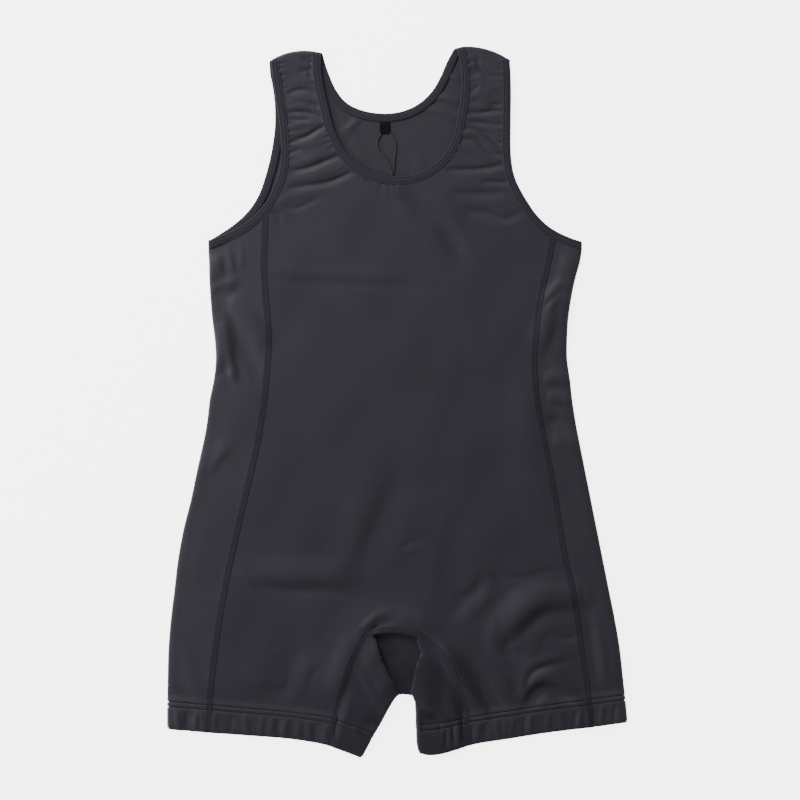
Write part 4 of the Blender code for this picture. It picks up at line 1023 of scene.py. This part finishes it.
def strap_turn(side, last):
    """Rows of a front strap round the shoulder's fold and down behind it."""
    below = behind_shoulder(side, STRAP_STOP)
    rows = []
    for k in range(1, TURN_STEPS + 1):
        angle = math.pi * k / TURN_STEPS
        row = last + (below - last) * k / TURN_STEPS
        row = row + np.array([0.0, SHOULDER_RADIUS * math.sin(angle)])
        level = WALL + SHOULDER_RADIUS + SHOULDER_RADIUS * math.cos(angle)
        rows.append(np.column_stack([row, np.full(len(row), level)]))
    for distance in np.linspace(STRAP_STOP, REAR_STRAP, REAR_ROWS + 1)[1:]:
        row = behind_shoulder(side, distance)
        rows.append(np.column_stack([row, np.full(len(row), WALL)]))
    return np.array(rows)


print("fold at the shoulder:", round(2 * SHOULDER_RADIUS, 1), "mm high inside")

# %% Front cloth
front_grids = []
front_hems = {}
for side in (-1, 1):
    rows, marks = half_panel(side, arm_front, neck_front, FRONT_YOKE, STRAP_STOP)
    x, y = rows[..., 0], rows[..., 1]
    double = doubled(marks)
    level = front_level(x, y) + double[:, None] + hem_relief(x, marks[:, None])
    level[-1] = SHOULDER_LIFT - WALL / 2
    places = np.dstack([x, y, level])
    front_hems[side] = places[:len(HEM_ROWS)]
    places = np.concatenate([places, strap_turn(side, rows[-1])])
    double = np.concatenate([double, np.zeros(TURN_STEPS + REAR_ROWS)])
    front_grids.append((places if side < 0 else places[:, ::-1], double, False))
front_cloth = cut_cloth("front_cloth", front_grids, knit)

# %% [markdown]
# ## Back panel
#
# The back has the same outline with a higher neck. It lies flat on the floor, so its outer face is
# level, and only the stretch that shows inside the neck has folds. It reaches just up to the end of
# each turned strap.

# %% Back cloth
BACK_STOP = REAR_STRAP - 0.3
BACK_HEM_RISE = 1.5
back_grids = []
back_hems = {}
for side in (-1, 1):
    rows, marks = half_panel(side, arm_back, neck_back, BACK_YOKE, BACK_STOP, BACK_HEM_RISE)
    x, y = rows[..., 0], rows[..., 1]
    double = doubled(marks)
    places = np.dstack([x, y, back_level(x, y) + double[:, None]])
    back_hems[side] = places[:len(HEM_ROWS)]
    places = places[:, ::2]
    back_grids.append((places if side < 0 else places[:, ::-1], double, True))
back_cloth = cut_cloth("back_cloth", back_grids, knit)

# %% [markdown]
# ## Side panels
#
# Each side is one long panel from armhole to hem that wraps round the edge of the garment, so a
# section across it goes from the front seam to the fold, round a soft roll and back under to the
# rear seam. The roll is wider than it is high, which gives the pressed edge its long highlight.

# %% Sections that fold over an edge
SIDE_COLUMNS = 22
ROLL_COLUMNS = 14
REAR_COLUMNS = 10
ROLL_REACH = 18.0
ROLL_SHARE = {-1: 0.6, 1: 0.78}


def roll_sizes(top, double, half_roll):
    """Level under a roll, its radius in height and its half width."""
    radius = max((top - WALL - double) / 2, 0.45)
    return WALL + double, radius, max(half_roll, radius)


def folded_rows(fronts, rears, level, tops, doubles, half_roll):
    """Sections of a piece that folds over an edge: front path, roll and rear path."""
    paths, closes = [], []
    for front, top, double in zip(fronts, tops, doubles):
        half = roll_sizes(top, double, half_roll)[2]
        stop = run_along(front)[-1] - half - WALL - double
        path = at(front, np.linspace(0.0, stop, len(front)))
        paths.append(path)
        closes.append(ease(1 - (stop - run_along(path)) / min(ROLL_REACH, stop)))
    paths = np.array(paths)
    levels = level(paths[..., 0], paths[..., 1])
    angles = math.pi * np.arange(1, ROLL_COLUMNS + 1)[:, None] / ROLL_COLUMNS
    rows = []
    for path, close, height, front, rear, top, double in zip(
            paths, closes, levels, fronts, rears, tops, doubles):
        under, radius, half = roll_sizes(top, double, half_roll)
        height = height + double
        height = height + (under + 2 * radius - height) * close
        way = (front[-1] - front[-2]) / np.linalg.norm(front[-1] - front[-2])
        out = path[-1] + way * half * np.sin(angles)
        back = at(rear, np.linspace(half + WALL + double, run_along(rear)[-1], len(rear)))[1:]
        rows.append(np.vstack([
            np.column_stack([path, height]),
            np.column_stack([out, under + radius + radius * np.cos(angles)]),
            np.column_stack([back, np.full(len(back), under)]),
        ]))
    return np.array(rows)


def fold_places(side, seam):
    """Places up a side fold, one for each row of its panel."""
    hem, end = np.array(HEM[side][0]), cloth_edge(arm_front[side])[-1]
    line = level_line(1 if side < 0 else 4)
    line = np.vstack([hem, line[(line[:, 1] > hem[1] + 1) & (line[:, 1] < end[1] - 1)], end])
    leg = up_leg(between(line, hem[1], LEG_TOP))
    high = between(line, LEG_TOP, end[1])
    marks = run_along(seam)[len(leg):] - run_along(seam)[len(leg) - 1]
    return np.vstack([leg, at(high, marks * run_along(high)[-1] / marks[-1])])


print("side sections have", SIDE_COLUMNS + 1 + ROLL_COLUMNS + REAR_COLUMNS, "places")


# %% Side cloth
WORD = {-1: "left", 1: "right"}
LEAST_ROLL = 2.4
SIDE_ROLL = 7.5
ARMHOLE_REACH = 40.0


def armhole_stretch(edge, seam_end, columns):
    """The stretch of an armhole's cloth edge from a seam's end to the side fold."""
    part = edge[abs(edge[:, 0]) > abs(seam_end[0]) + 0.5]
    part = part[np.argsort(abs(part[:, 0]))]
    return spaced(np.vstack([seam_end, part]), columns)


def at_share(rows, distance):
    """The place on each row that lies a distance before its end."""
    ways = rows[:, -1] - rows[:, 0]
    lengths = np.linalg.norm(ways, axis=1)[:, None]
    return rows[:, -1] - ways / lengths * np.minimum(distance, 0.8 * lengths)


def side_cloth(side):
    """A side panel, folded round the edge of the garment."""
    seam, rear = seam_places(side, arm_front), seam_places(side, arm_back)
    fold = fold_places(side, seam)
    close = ease(1 - (seam[-1, 1] - seam[:, 1]) / ARMHOLE_REACH)
    front_top = armhole_stretch(cloth_edge(arm_front[side]), seam[-1], SIDE_COLUMNS)
    rear_top = armhole_stretch(cloth_edge(arm_back[side]), rear[-1], REAR_COLUMNS)[::-1]
    fronts = across(seam, fold, SIDE_COLUMNS, front_top, close)
    rears = across(fold, rear, REAR_COLUMNS, rear_top, close)
    marks = hem_marks(len(seam))
    near_fold = at_share(fronts, 10.0)
    tops = np.maximum(ROLL_SHARE[side] * front_level(*near_fold.T) + WALL, LEAST_ROLL)
    double = doubled(marks)
    places = folded_rows(fronts, rears, front_level, tops + double, double, SIDE_ROLL)
    upper = SIDE_COLUMNS + ROLL_COLUMNS // 2
    places[:, :upper, 2] += hem_relief(places[:, :upper, 0], marks[:, None])
    piece = cut_cloth("side_cloth_" + WORD[side], [(places, double, side < 0)], side_knit)
    return piece, places[:len(HEM_ROWS)]


side_left, left_hem_side = side_cloth(-1)
side_right, right_hem_side = side_cloth(1)

# %% [markdown]
# ## Gusset
#
# The gusset is one strip from hem to hem over the crotch. On each leg it stands up as a wing,
# folded along the inside of the leg, and between the wings it drops into a dark well. The wings'
# upper edges are drawn as lines, and the cloth falls away steeply on the inner side of each. At the
# hems its rows run parallel to the edge, and the right hem ends in a small rounded corner.

# %% Wings of the gusset
WING_LEFT = (
    (-30.0, -254.0), (-25.3, -270.9), (-19.8, -287.4), (-12.1, -303.9), (-5.5, -317.1), (0.5, -324.0),
)
WING_RIGHT = (
    (25.0, -259.0), (30.8, -273.1), (28.6, -281.9), (25.3, -292.9), (23.1, -306.1), (19.0, -326.0),
)
WING_HEIGHT = 9.0
WING_LEAN = {-1.0: 3.2, 1.0: 5.4}
GUSSET_FOLDS = (
    (5, 0.9, ((-50, -286), (-37, -304), (-25, -324))),
    (4, -1.5, ((-31, -352), (-24, -354), (-18, -351))),
    (5, 0.9, ((-51, -354), (-42, -370), (-40, -383))),
    (4, -1.7, ((20, -332), (29, -342), (36, -346), (44, -352), (46, -361))),
    (5, 1.7, ((21, -325), (32, -335), (43, -340), (53, -348))),
    (3, -1, ((52, -357), (52, -379))),
    (3, -1.1, ((59, -354), (61, -376))),
    (2.6, -1.1, ((69, -352), (70, -374))),
    (3, 0.8, ((65, -354), (66, -374))),
    (16, 1, ((-4, -273), (0, -301))),
)
WING_FALL, WING_EDGE, LEAN_REACH = 32.0, 3.0, 6.0
GUSSET_ROLL, GUSSET_TOP = 3.0, 7.4
HEM_CORNER_REACH = 45.0
GUSSET_COLUMNS = 44
GUSSET_LEG_ROWS = 34
GUSSET_CROTCH_ROWS = 26


def signed_from(line, x, y):
    """Distance of each place from a line that runs down, above zero on its right as drawn."""
    line = smooth_line(line, 5)
    distance, share = near(line, x, y)
    spot = np.minimum((share * (len(line) - 1)).astype(int), len(line) - 2)
    start, end = line[spot], line[spot + 1]
    way = end - start
    return distance * np.sign(way[..., 0] * (y - start[..., 1]) - way[..., 1] * (x - start[..., 0]))


def wings_at(x, y):
    """Height of the wings above the well, and how far they lean out over it."""
    raised, lean = np.zeros(x.shape), np.zeros(x.shape)
    for line, sign in ((WING_LEFT, -1.0), (WING_RIGHT, 1.0)):
        inward = signed_from(line, x, y) * sign
        wing = np.where(inward > 0, 1 - 0.5 * ease(inward / WING_FALL), 1 - ease(-inward / WING_EDGE))
        raised = np.maximum(raised, WING_HEIGHT * wing)
        lean = lean - sign * WING_LEAN[sign] * wing * np.exp(-np.maximum(inward, 0.0) / LEAN_REACH)
    low = ease((y + 396.0) / 70.0)
    return raised * low, lean * low * ease(-(y + 256.0) / 8.0)


def gusset_level(x, y):
    """Height of the inner face of the gusset's front."""
    raised = wings_at(x, y)[0]
    seam = smooth_line(GUSSET)[:, :2]
    close = ease(1 - near(seam[::3], x, y)[0] / (8.0 + 1.4 * raised))
    level = REST_LEVEL + 0.3 + raised
    level = level + (front_level(x, y) - level) * close
    return np.maximum(level + folds_at(GUSSET_FOLDS, x, y), REST_LEVEL)


print("folds of the gusset:", len(GUSSET_FOLDS))


# %% Gusset cloth
def gusset_places(side):
    """Sections of the gusset from one hem to its middle."""
    leg, over = gusset_halves(side)
    marks = leg_marks(run_along(leg)[-1], GUSSET_LEG_ROWS)
    places, fold = at(leg, marks), leg[:, 2:]
    fold_length = run_along(fold)[-1]
    fold_marks = np.interp(marks, run_along(leg), run_along(fold))
    start = fold_marks[len(HEM_ROWS) - 1]
    share = (fold_marks - start) / (fold_length - start)
    fold_marks = np.where(marks <= HEM_ROWS[-1], marks, HEM_ROWS[-1] + share * (fold_length - HEM_ROWS[-1]))
    places[:, 2:] = at(fold, fold_marks)
    return np.vstack([places, spaced(over, GUSSET_CROTCH_ROWS)[1:]])


left_places, right_places = gusset_places(-1), gusset_places(1)
gusset_stations = np.vstack([left_places[:-1], right_places[::-1]])
gusset_marks = hem_marks(len(gusset_stations))
gusset_marks = np.minimum(gusset_marks, gusset_marks[::-1])
gusset_doubles = doubled(gusset_marks)
right_hem = smooth_line(HEM_RIGHT)
right_hem = spaced(right_hem[right_hem[:, 0] < GUSSET[-1][0]], GUSSET_COLUMNS)
bow_shares = np.clip(1.0 - gusset_marks / HEM_CORNER_REACH, 0.0, 1.0)
bow_shares[:len(left_places)] = 0.0
gusset_seam, gusset_fold = gusset_stations[:, :2], gusset_stations[:, 2:]
gusset_fronts = across(gusset_seam, gusset_fold, GUSSET_COLUMNS, right_hem, bow_shares)
gusset_rears = gusset_fronts[:, ::-4]
gusset_tops = np.minimum(gusset_level(*gusset_fold.T) + gusset_doubles, GUSSET_TOP)
gusset_grid = folded_rows(
    gusset_fronts, gusset_rears, gusset_level, gusset_tops, gusset_doubles, GUSSET_ROLL)
upper = GUSSET_COLUMNS + ROLL_COLUMNS // 2
gusset_grid[:, :upper, 2] += hem_relief(gusset_grid[:, :upper, 0], gusset_marks[:, None])
raised, lean = wings_at(gusset_grid[:, :GUSSET_COLUMNS, 0], gusset_grid[:, :GUSSET_COLUMNS, 1])
gusset_grid[:, :GUSSET_COLUMNS, 2] -= 1.5 * gusset_doubles[:, None] * ease((raised - 1.5) / 2.0)
gusset_grid[:, :GUSSET_COLUMNS, 0] += lean
gusset_cloth = cut_cloth("gusset_cloth", [(gusset_grid, gusset_doubles, False)], gusset_knit_painted_darker)

# %% [markdown]
# ## Bindings
#
# Neck and armholes are edged with an elastic strip folded over the raw edge and stitched down
# twice. It is swept along the opening: down the front edge, round the fold at the shoulder and back
# along the rear edge, so that it closes on itself. Its section is a flat, rounded bar with a groove
# at each stitch line.

# %% Section and stations of a binding
BAND_SECTION = (
    (-4.75, 0.0), (-4.62, 0.5), (-4.1, 0.84), (-3.3, 0.96), (-2.7, 0.92), (-2.2, 0.62), (-1.7, 0.92),
    (-0.9, 0.98), (0.0, 1.0), (0.9, 0.98), (1.7, 0.92), (2.2, 0.62), (2.7, 0.92), (3.3, 0.96), (4.1, 0.84),
    (4.62, 0.5), (4.75, 0.0), (4.6, -0.6), (4.0, -1.0), (2.0, -1.1), (-2.0, -1.1), (-4.0, -1.0), (-4.6, -0.6),
)
BAND_ROUND = 21.0
STATION_SPACING = 3.0
REAR_LIFT = BAND_THICK / 2
UP = Vector((0.0, 0.0, 1.0))


def band_stations(edge, base):
    """Centre, way across and way up of each section on the front, with a base, or behind."""
    run = run_along(edge)
    trim = SHOULDER_LIFT / 2 - REAR_LIFT / 2 + BAND_THICK / 2
    marks = np.linspace(trim, run[-1] - trim, round((run[-1] - 2 * trim) / STATION_SPACING) + 1)
    stations = []
    for mark, (x, y, wx, wy) in zip(marks, at(edge, marks)):
        level = REAR_LIFT
        if base is not None:
            level = float(band_level(np.array([x]), np.array([y]), base)[0])
            from_end = min(mark, run[-1] - mark)
            level += (SHOULDER_LIFT - level) * (1 - float(ease((from_end - 6.0) / TURN_REACH)))
        way = Vector((wx, wy, 0.0)).normalized()
        centre = Vector((x, y, level)) + way * (BAND_WIDTH / 2)
        stations.append((centre, way, UP if base is not None else -UP))
    return stations


def turn_over(last, first):
    """Sections of a binding round the fold between its front and its back."""
    ahead = last[1][0] - last[0][0]
    ahead.z = 0.0
    ahead = (ahead - last[1][1] * ahead.dot(last[1][1])).normalized()
    radius = (last[1][0].z - first[0][0].z) / 2
    stations = []
    for k in range(1, TURN_STEPS):
        angle = math.pi * k / TURN_STEPS
        share = k / TURN_STEPS
        centre = last[1][0].lerp(first[0][0], share)
        centre.z = first[0][0].z + radius + radius * math.cos(angle)
        centre += ahead * (abs(radius) * math.sin(angle))
        up = ahead * math.sin(angle) + UP * math.copysign(math.cos(angle), radius * math.cos(angle))
        stations.append((centre, last[1][1].lerp(first[0][1], share).normalized(), up))
    return stations


print("places round a binding:", len(BAND_SECTION))


# %% Sweep a binding
def binding(name, front, rear, base):
    """A binding that runs along the front edge, turns over the fold and comes back behind."""
    front_side, rear_side = band_stations(front, base), band_stations(rear[::-1], None)
    stations = front_side + turn_over(front_side[-2:], rear_side[:2])
    stations += rear_side + turn_over(rear_side[-2:], front_side[:2])
    stations.append(stations[0])
    section = BAND_SECTION + BAND_SECTION[:1]
    places = np.array([[tuple(c + w * a + u * b) for a, b in section] for c, w, u in stations])
    form = bmesh.new()
    lay_grid(form, places, False, (BAND_ROUND, STATION_SPACING * len(stations)))
    bmesh.ops.remove_doubles(form, verts=form.verts, dist=2e-6)
    bmesh.ops.recalc_face_normals(form, faces=form.faces)
    piece = show(name, form, elastic)
    print(name, len(piece.data.polygons), "faces")
    return piece, front_side, rear_side


neck_band, neck_front_side, neck_rear_side = binding("neck_band", neck_front, neck_back, BAND_LIFT)
arm_bands, arm_sides = {}, {}
for side, word in WORD.items():
    made = binding("arm_band_" + word, arm_front[side], arm_back[side], STRAP_LIFT)
    arm_bands[side], arm_sides[side] = made[0], made[1:]

# %% [markdown]
# ## Flat seams
#
# The panels are joined edge to edge under a flat band of cover stitches, duller and a little higher
# than the cloth. Each band is a narrow strip laid on the surface along its seam.

# %% Surface of the finished garment
SEAM_PROFILE = (
    (-4.1, -0.4), (-3.7, 0.12), (-3.0, 0.24), (-1.6, 0.22), (0.0, 0.14),
    (1.6, 0.22), (3.0, 0.24), (3.7, 0.12), (4.1, -0.4),
)


def outer_height(x, y, mark):
    """Height of the outer face of the front, a distance mark up from the hem."""
    double = doubled(mark)
    return front_level(x, y) + double + hem_relief(x, mark) + WALL * (1 + double)


def seam_frame(line, spacing, both_hems):
    """Even places along a seam, its ways along and across, its length and the distances from a hem."""
    line = spaced(line, round(run_along(line)[-1] / spacing))
    along = np.gradient(line, axis=0)
    along /= np.linalg.norm(along, axis=1)[:, None]
    run = run_along(line)
    marks = np.minimum(run, run[-1] - run) if both_hems else run
    return line, along, np.column_stack([along[:, 1], -along[:, 0]]), run[-1], marks


def seam_strip(name, line, both_hems, facing):
    """A flat seam band laid along a line, on the front (facing 1) or underneath (facing -1)."""
    spots, _, aside, length, marks = seam_frame(line, 2.2, both_hems)
    offset, rise = np.array(SEAM_PROFILE).T
    x, y = spots[:, :1] + aside[:, :1] * offset, spots[:, 1:] + aside[:, 1:] * offset
    if facing > 0:
        z = outer_height(x, y, marks[:, None]) + rise
    else:
        z = np.zeros(x.shape) - np.maximum(rise, -0.3) * 0.6
    form = bmesh.new()
    lay_grid(form, np.dstack([x, y, z]), facing < 0, (2 * SEAM_PROFILE[-1][0], length))
    piece = show(name, form, seam_tape)
    wall = piece.modifiers.new("wall", "SOLIDIFY")
    wall.thickness = 0.25 * MM
    wall.offset = -1.0
    return piece


arch = smooth_line(GUSSET)[:, :2]
seams = []
for side, word in WORD.items():
    seams.append(seam_strip("front_seam_" + word, seam_line(side, arm_front), False, 1))
    seams.append(seam_strip("rear_seam_" + word, seam_line(side, arm_back), False, -1))
seams.append(seam_strip("front_gusset_seam", arch, True, 1))
seams.append(seam_strip("rear_gusset_seam", arch, True, -1))
print("flat seams:", len(seams))

# %% [markdown]
# ## Stitches
#
# Each stitch is a small drawn-out bead of thread that dips into the cloth at both ends. One bead is
# made with the sphere operator and copied along the lines: twice round each binding, twice round
# each hem, and along and across the flat seams.

# %% Sewing
def sew(name, stitches):
    """Stitches at places in millimetres, each with its way, its up, its length and its width."""
    bead = bmesh.new()
    bmesh.ops.create_icosphere(bead, subdivisions=1, radius=0.5)
    pattern = bpy.data.meshes.new(name + "_bead")
    bead.to_mesh(pattern)
    bead.free()
    form = bmesh.new()
    for place, way, up, length, width in stitches:
        way = Vector(way).normalized()
        beside = Vector(up).cross(way).normalized()
        up = way.cross(beside)
        turned = Matrix((way * length, beside * width, up * width * 0.8)).transposed().to_4x4()
        turned.translation = Vector(place)
        one = pattern.copy()
        one.transform(Matrix.Scale(MM, 4) @ turned)
        form.from_mesh(one)
        bpy.data.meshes.remove(one)
    bpy.data.meshes.remove(pattern)
    piece = show(name, form, thread)
    print(name, len(stitches), "stitches")
    return piece


def along_line(points, ups, spacing, length, width):
    """A line of stitches through places in space."""
    steps = np.linalg.norm(np.diff(points, axis=0), axis=1)
    run = np.concatenate([[0.0], np.cumsum(steps)])
    marks = np.arange(spacing / 2, run[-1], spacing)
    spots = np.column_stack([np.interp(marks, run, column) for column in points.T])
    ends = np.column_stack([np.interp(marks + 0.5, run, column) for column in points.T])
    lifted = np.column_stack([np.interp(marks, run, column) for column in ups.T])
    result = []
    for spot, end, up in zip(spots, ends, lifted):
        if np.linalg.norm(end - spot) > 0.05:
            result.append((spot, end - spot, up, length, width))
    return result


# %% Stitches round the bindings
BAND_STITCHES = (-2.2, 2.2)
BAND_STITCH_LIFT = 0.68


def binding_stitches(name, sides):
    """Two lines of stitches on each side of a binding."""
    stitches = []
    for stations in sides:
        ups = np.array([tuple(station[2]) for station in stations])
        for offset in BAND_STITCHES:
            points = np.array([tuple(c + w * offset + u * BAND_STITCH_LIFT) for c, w, u in stations])
            stitches += along_line(points, ups, 2.7, 2.1, 0.55)
    return sew(name, stitches)


neck_stitches = binding_stitches("neck_stitches", (neck_front_side, neck_rear_side))
arm_stitches = [binding_stitches("arm_stitches_" + word, arm_sides[side]) for side, word in WORD.items()]


# %% Stitches round the hems
HEM_STITCH_LIFT = 0.12
GUSSET_REAR_COLUMNS = 11


def hem_line(rows, stitched, columns):
    """The line across a piece's hem rows at a distance from the fold, on the outer face."""
    index = HEM_ROWS.index(stitched)
    line = rows[index][columns].copy()
    line[:, 2] += 2 * WALL + HEM_STITCH_LIFT
    return line


def hem_stitches(name, side, side_rows, gusset_rows):
    """Two lines of stitches round the front of one leg and two behind it."""
    stitches = []
    for stitched in HEM_STITCHES:
        line = np.vstack([
            hem_line(side_rows, stitched, slice(SIDE_COLUMNS + 3, None, -1)),
            hem_line(front_hems[side], stitched, slice(0, None)),
            hem_line(gusset_rows, stitched, slice(0, GUSSET_COLUMNS + 2)),
        ])
        stitches += along_line(line, np.tile((0.0, 0.0, 1.0), (len(line), 1)), 2.9, 2.3, 0.6)
        behind = np.vstack([
            hem_line(side_rows, stitched, slice(-REAR_COLUMNS, None)),
            hem_line(back_hems[side], stitched, slice(0, None)),
            hem_line(gusset_rows, stitched, slice(None, -GUSSET_REAR_COLUMNS, -1)),
        ])
        behind[:, 2] = -HEM_STITCH_LIFT
        stitches += along_line(behind, np.tile((0.0, 0.0, -1.0), (len(behind), 1)), 2.9, 2.3, 0.6)
    return sew(name, stitches)


left_hem_stitches = hem_stitches("hem_stitches_left", -1, left_hem_side, gusset_grid[:len(HEM_ROWS)])
right_hem_stitches = hem_stitches("hem_stitches_right", 1, right_hem_side, gusset_grid[::-1][:len(HEM_ROWS)])


# %% Stitches of the flat seams
SEAM_STITCH_SPACING = 2.6


def seam_stitches(name, line, both_hems, facing):
    """Two edge lines and slanted cross threads over a flat seam."""
    spots, along, aside, _, marks = seam_frame(line, SEAM_STITCH_SPACING, both_hems)
    up = (0.0, 0.0, float(facing))
    stitches = []
    for offset in (-2.9, 2.9, 0.0):
        crossing = offset == 0.0
        length, width, lift = (5.4, 0.42, 0.02) if crossing else (2.1, 0.5, 0.06)
        x, y = spots[:, 0] + aside[:, 0] * offset, spots[:, 1] + aside[:, 1] * offset
        z = outer_height(x, y, marks) + 0.24 if facing > 0 else np.full(len(x), -0.34)
        for i in range(len(x) - 1):
            way = along[i] * 0.42 + aside[i] if crossing else along[i]
            rise = 0.0 if crossing else (z[i + 1] - z[i]) / SEAM_STITCH_SPACING
            stitches.append(((x[i], y[i], z[i] + lift * facing), (*way, rise), up, length, width))
    return sew(name, stitches)


threads = []
for side, word in WORD.items():
    threads.append(seam_stitches("front_threads_" + word, seam_line(side, arm_front), False, 1))
    threads.append(seam_stitches("rear_threads_" + word, seam_line(side, arm_back), False, -1))
threads.append(seam_stitches("gusset_threads", arch, True, 1))
threads.append(seam_stitches("rear_gusset_threads", arch, True, -1))
print("threads:", len(threads), "seams")

# %% [markdown]
# ## Label and hanging loop
#
# Just under the back neck sits a small woven label, left bare, and below it a thin cord hangs in a
# loop. The label is a soft little block with bevelled edges and a slightly bowed face. The cord is
# two plies that twist round each other.

# %% Label
LABEL_SIZE = (11.0, 12.0, 0.8)
LABEL_PLACE = (-14.5, 300.9, 1.75)
form = bmesh.new()
bmesh.ops.create_cube(form, size=1.0, matrix=Matrix.Diagonal((*[size * MM for size in LABEL_SIZE], 1.0)))
bmesh.ops.subdivide_edges(form, edges=form.edges, cuts=5, use_grid_fill=True)
rim = [edge for edge in form.edges if len(edge.link_faces) == 2 and edge.calc_face_angle(0.0) > 0.5]
bmesh.ops.bevel(form, geom=rim, offset=0.0003, segments=3, profile=0.5, affect="EDGES", material=-1)
for corner in form.verts:
    across_share, up_share = corner.co.x / MM / LABEL_SIZE[0], corner.co.y / MM / LABEL_SIZE[1]
    corner.co.z += MM * (0.15 * math.cos(math.pi * across_share) + 0.3 * max(-up_share, 0.0))
bmesh.ops.translate(form, verts=form.verts, vec=Vector(LABEL_PLACE) * MM)
label_tape = show("label_tape", form, woven)
label_stitches = sew("label_stitches", [
    ((LABEL_PLACE[0] + offset, LABEL_PLACE[1] + 4.4, 2.42), (1.0, 0.0, 0.0), (0.0, 0.0, 1.0), 1.8, 0.5)
    for offset in (-4.0, -2.0, 0.0, 2.0, 4.0)
])
print("label:", len(label_tape.data.polygons), "faces")

# %% Hanging loop
HANGING_LOOP = (
    (-18.6, 295.2), (-22.6, 286.0), (-21.0, 276.0), (-13.0, 266.0), (-8.0, 256.0),
    (-6.0, 249.2), (-4.6, 256.0), (-4.0, 266.0), (-2.8, 277.0), (-3.2, 285.0), (-8.8, 295.2),
)
PLY_RADIUS = 0.34
PLY_PITCH = 2.6
loop_line = spaced(smooth_line(HANGING_LOOP), 330)
loop_run = run_along(loop_line)
wire = bpy.data.curves.new("loop_cord", "CURVE")
wire.dimensions = "3D"
wire.bevel_depth = PLY_RADIUS * MM
wire.bevel_resolution = 2
wire.use_fill_caps = True
loop_along = np.gradient(loop_line, axis=0)
loop_along /= np.linalg.norm(loop_along, axis=1)[:, None]
for ply in (0.0, math.pi):
    path = wire.splines.new("POLY")
    path.points.add(len(loop_line) - 1)
    for point, (x, y), (ax, ay), distance in zip(path.points, loop_line, loop_along, loop_run):
        angle = distance / PLY_PITCH * math.tau + ply
        aside, rise = PLY_RADIUS * 0.95 * math.cos(angle), PLY_RADIUS * 0.95 * math.sin(angle)
        point.co = ((x + ay * aside) * MM, (y - ax * aside) * MM, (2.0 + rise) * MM, 1.0)
wire.materials.append(cord_yarn)
loop_cord = bpy.data.objects.new("loop_cord", wire)
bpy.context.scene.collection.objects.link(loop_cord)
print("loop:", round(loop_run[-1]), "mm long")

# %% [markdown]
# ## What each piece stands for
#
# The garment is one body, so every piece rides on its root. Each cloth piece, binding, label and
# cord takes the place of its solid.

# %% Ride and replace
PIECES = (
    (front_cloth, "knit", "front_panel"), (back_cloth, "knit", "back_panel"),
    (side_left, "side_knit", "side_panel_left"), (side_right, "side_knit", "side_panel_right"),
    (gusset_cloth, "knit", "gusset"), (neck_band, "binding", "neck_binding"),
    (arm_bands[-1], "binding", "armhole_binding_left"), (arm_bands[1], "binding", "armhole_binding_right"),
    (label_tape, "label", "label"), (loop_cord, "loop", "hanging_loop"),
)
for piece, finish_slot, solid in PIECES:
    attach(piece, "root")
    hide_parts(solid)
trims = seams + threads + [neck_stitches, *arm_stitches]
trims += [left_hem_stitches, right_hem_stitches, label_stitches]
for piece in trims:
    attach(piece, "root")
print("pieces:", len(PIECES), "and", len(trims), "trims")

# %% Count of the cloth pieces
print("cloth pieces: 5")
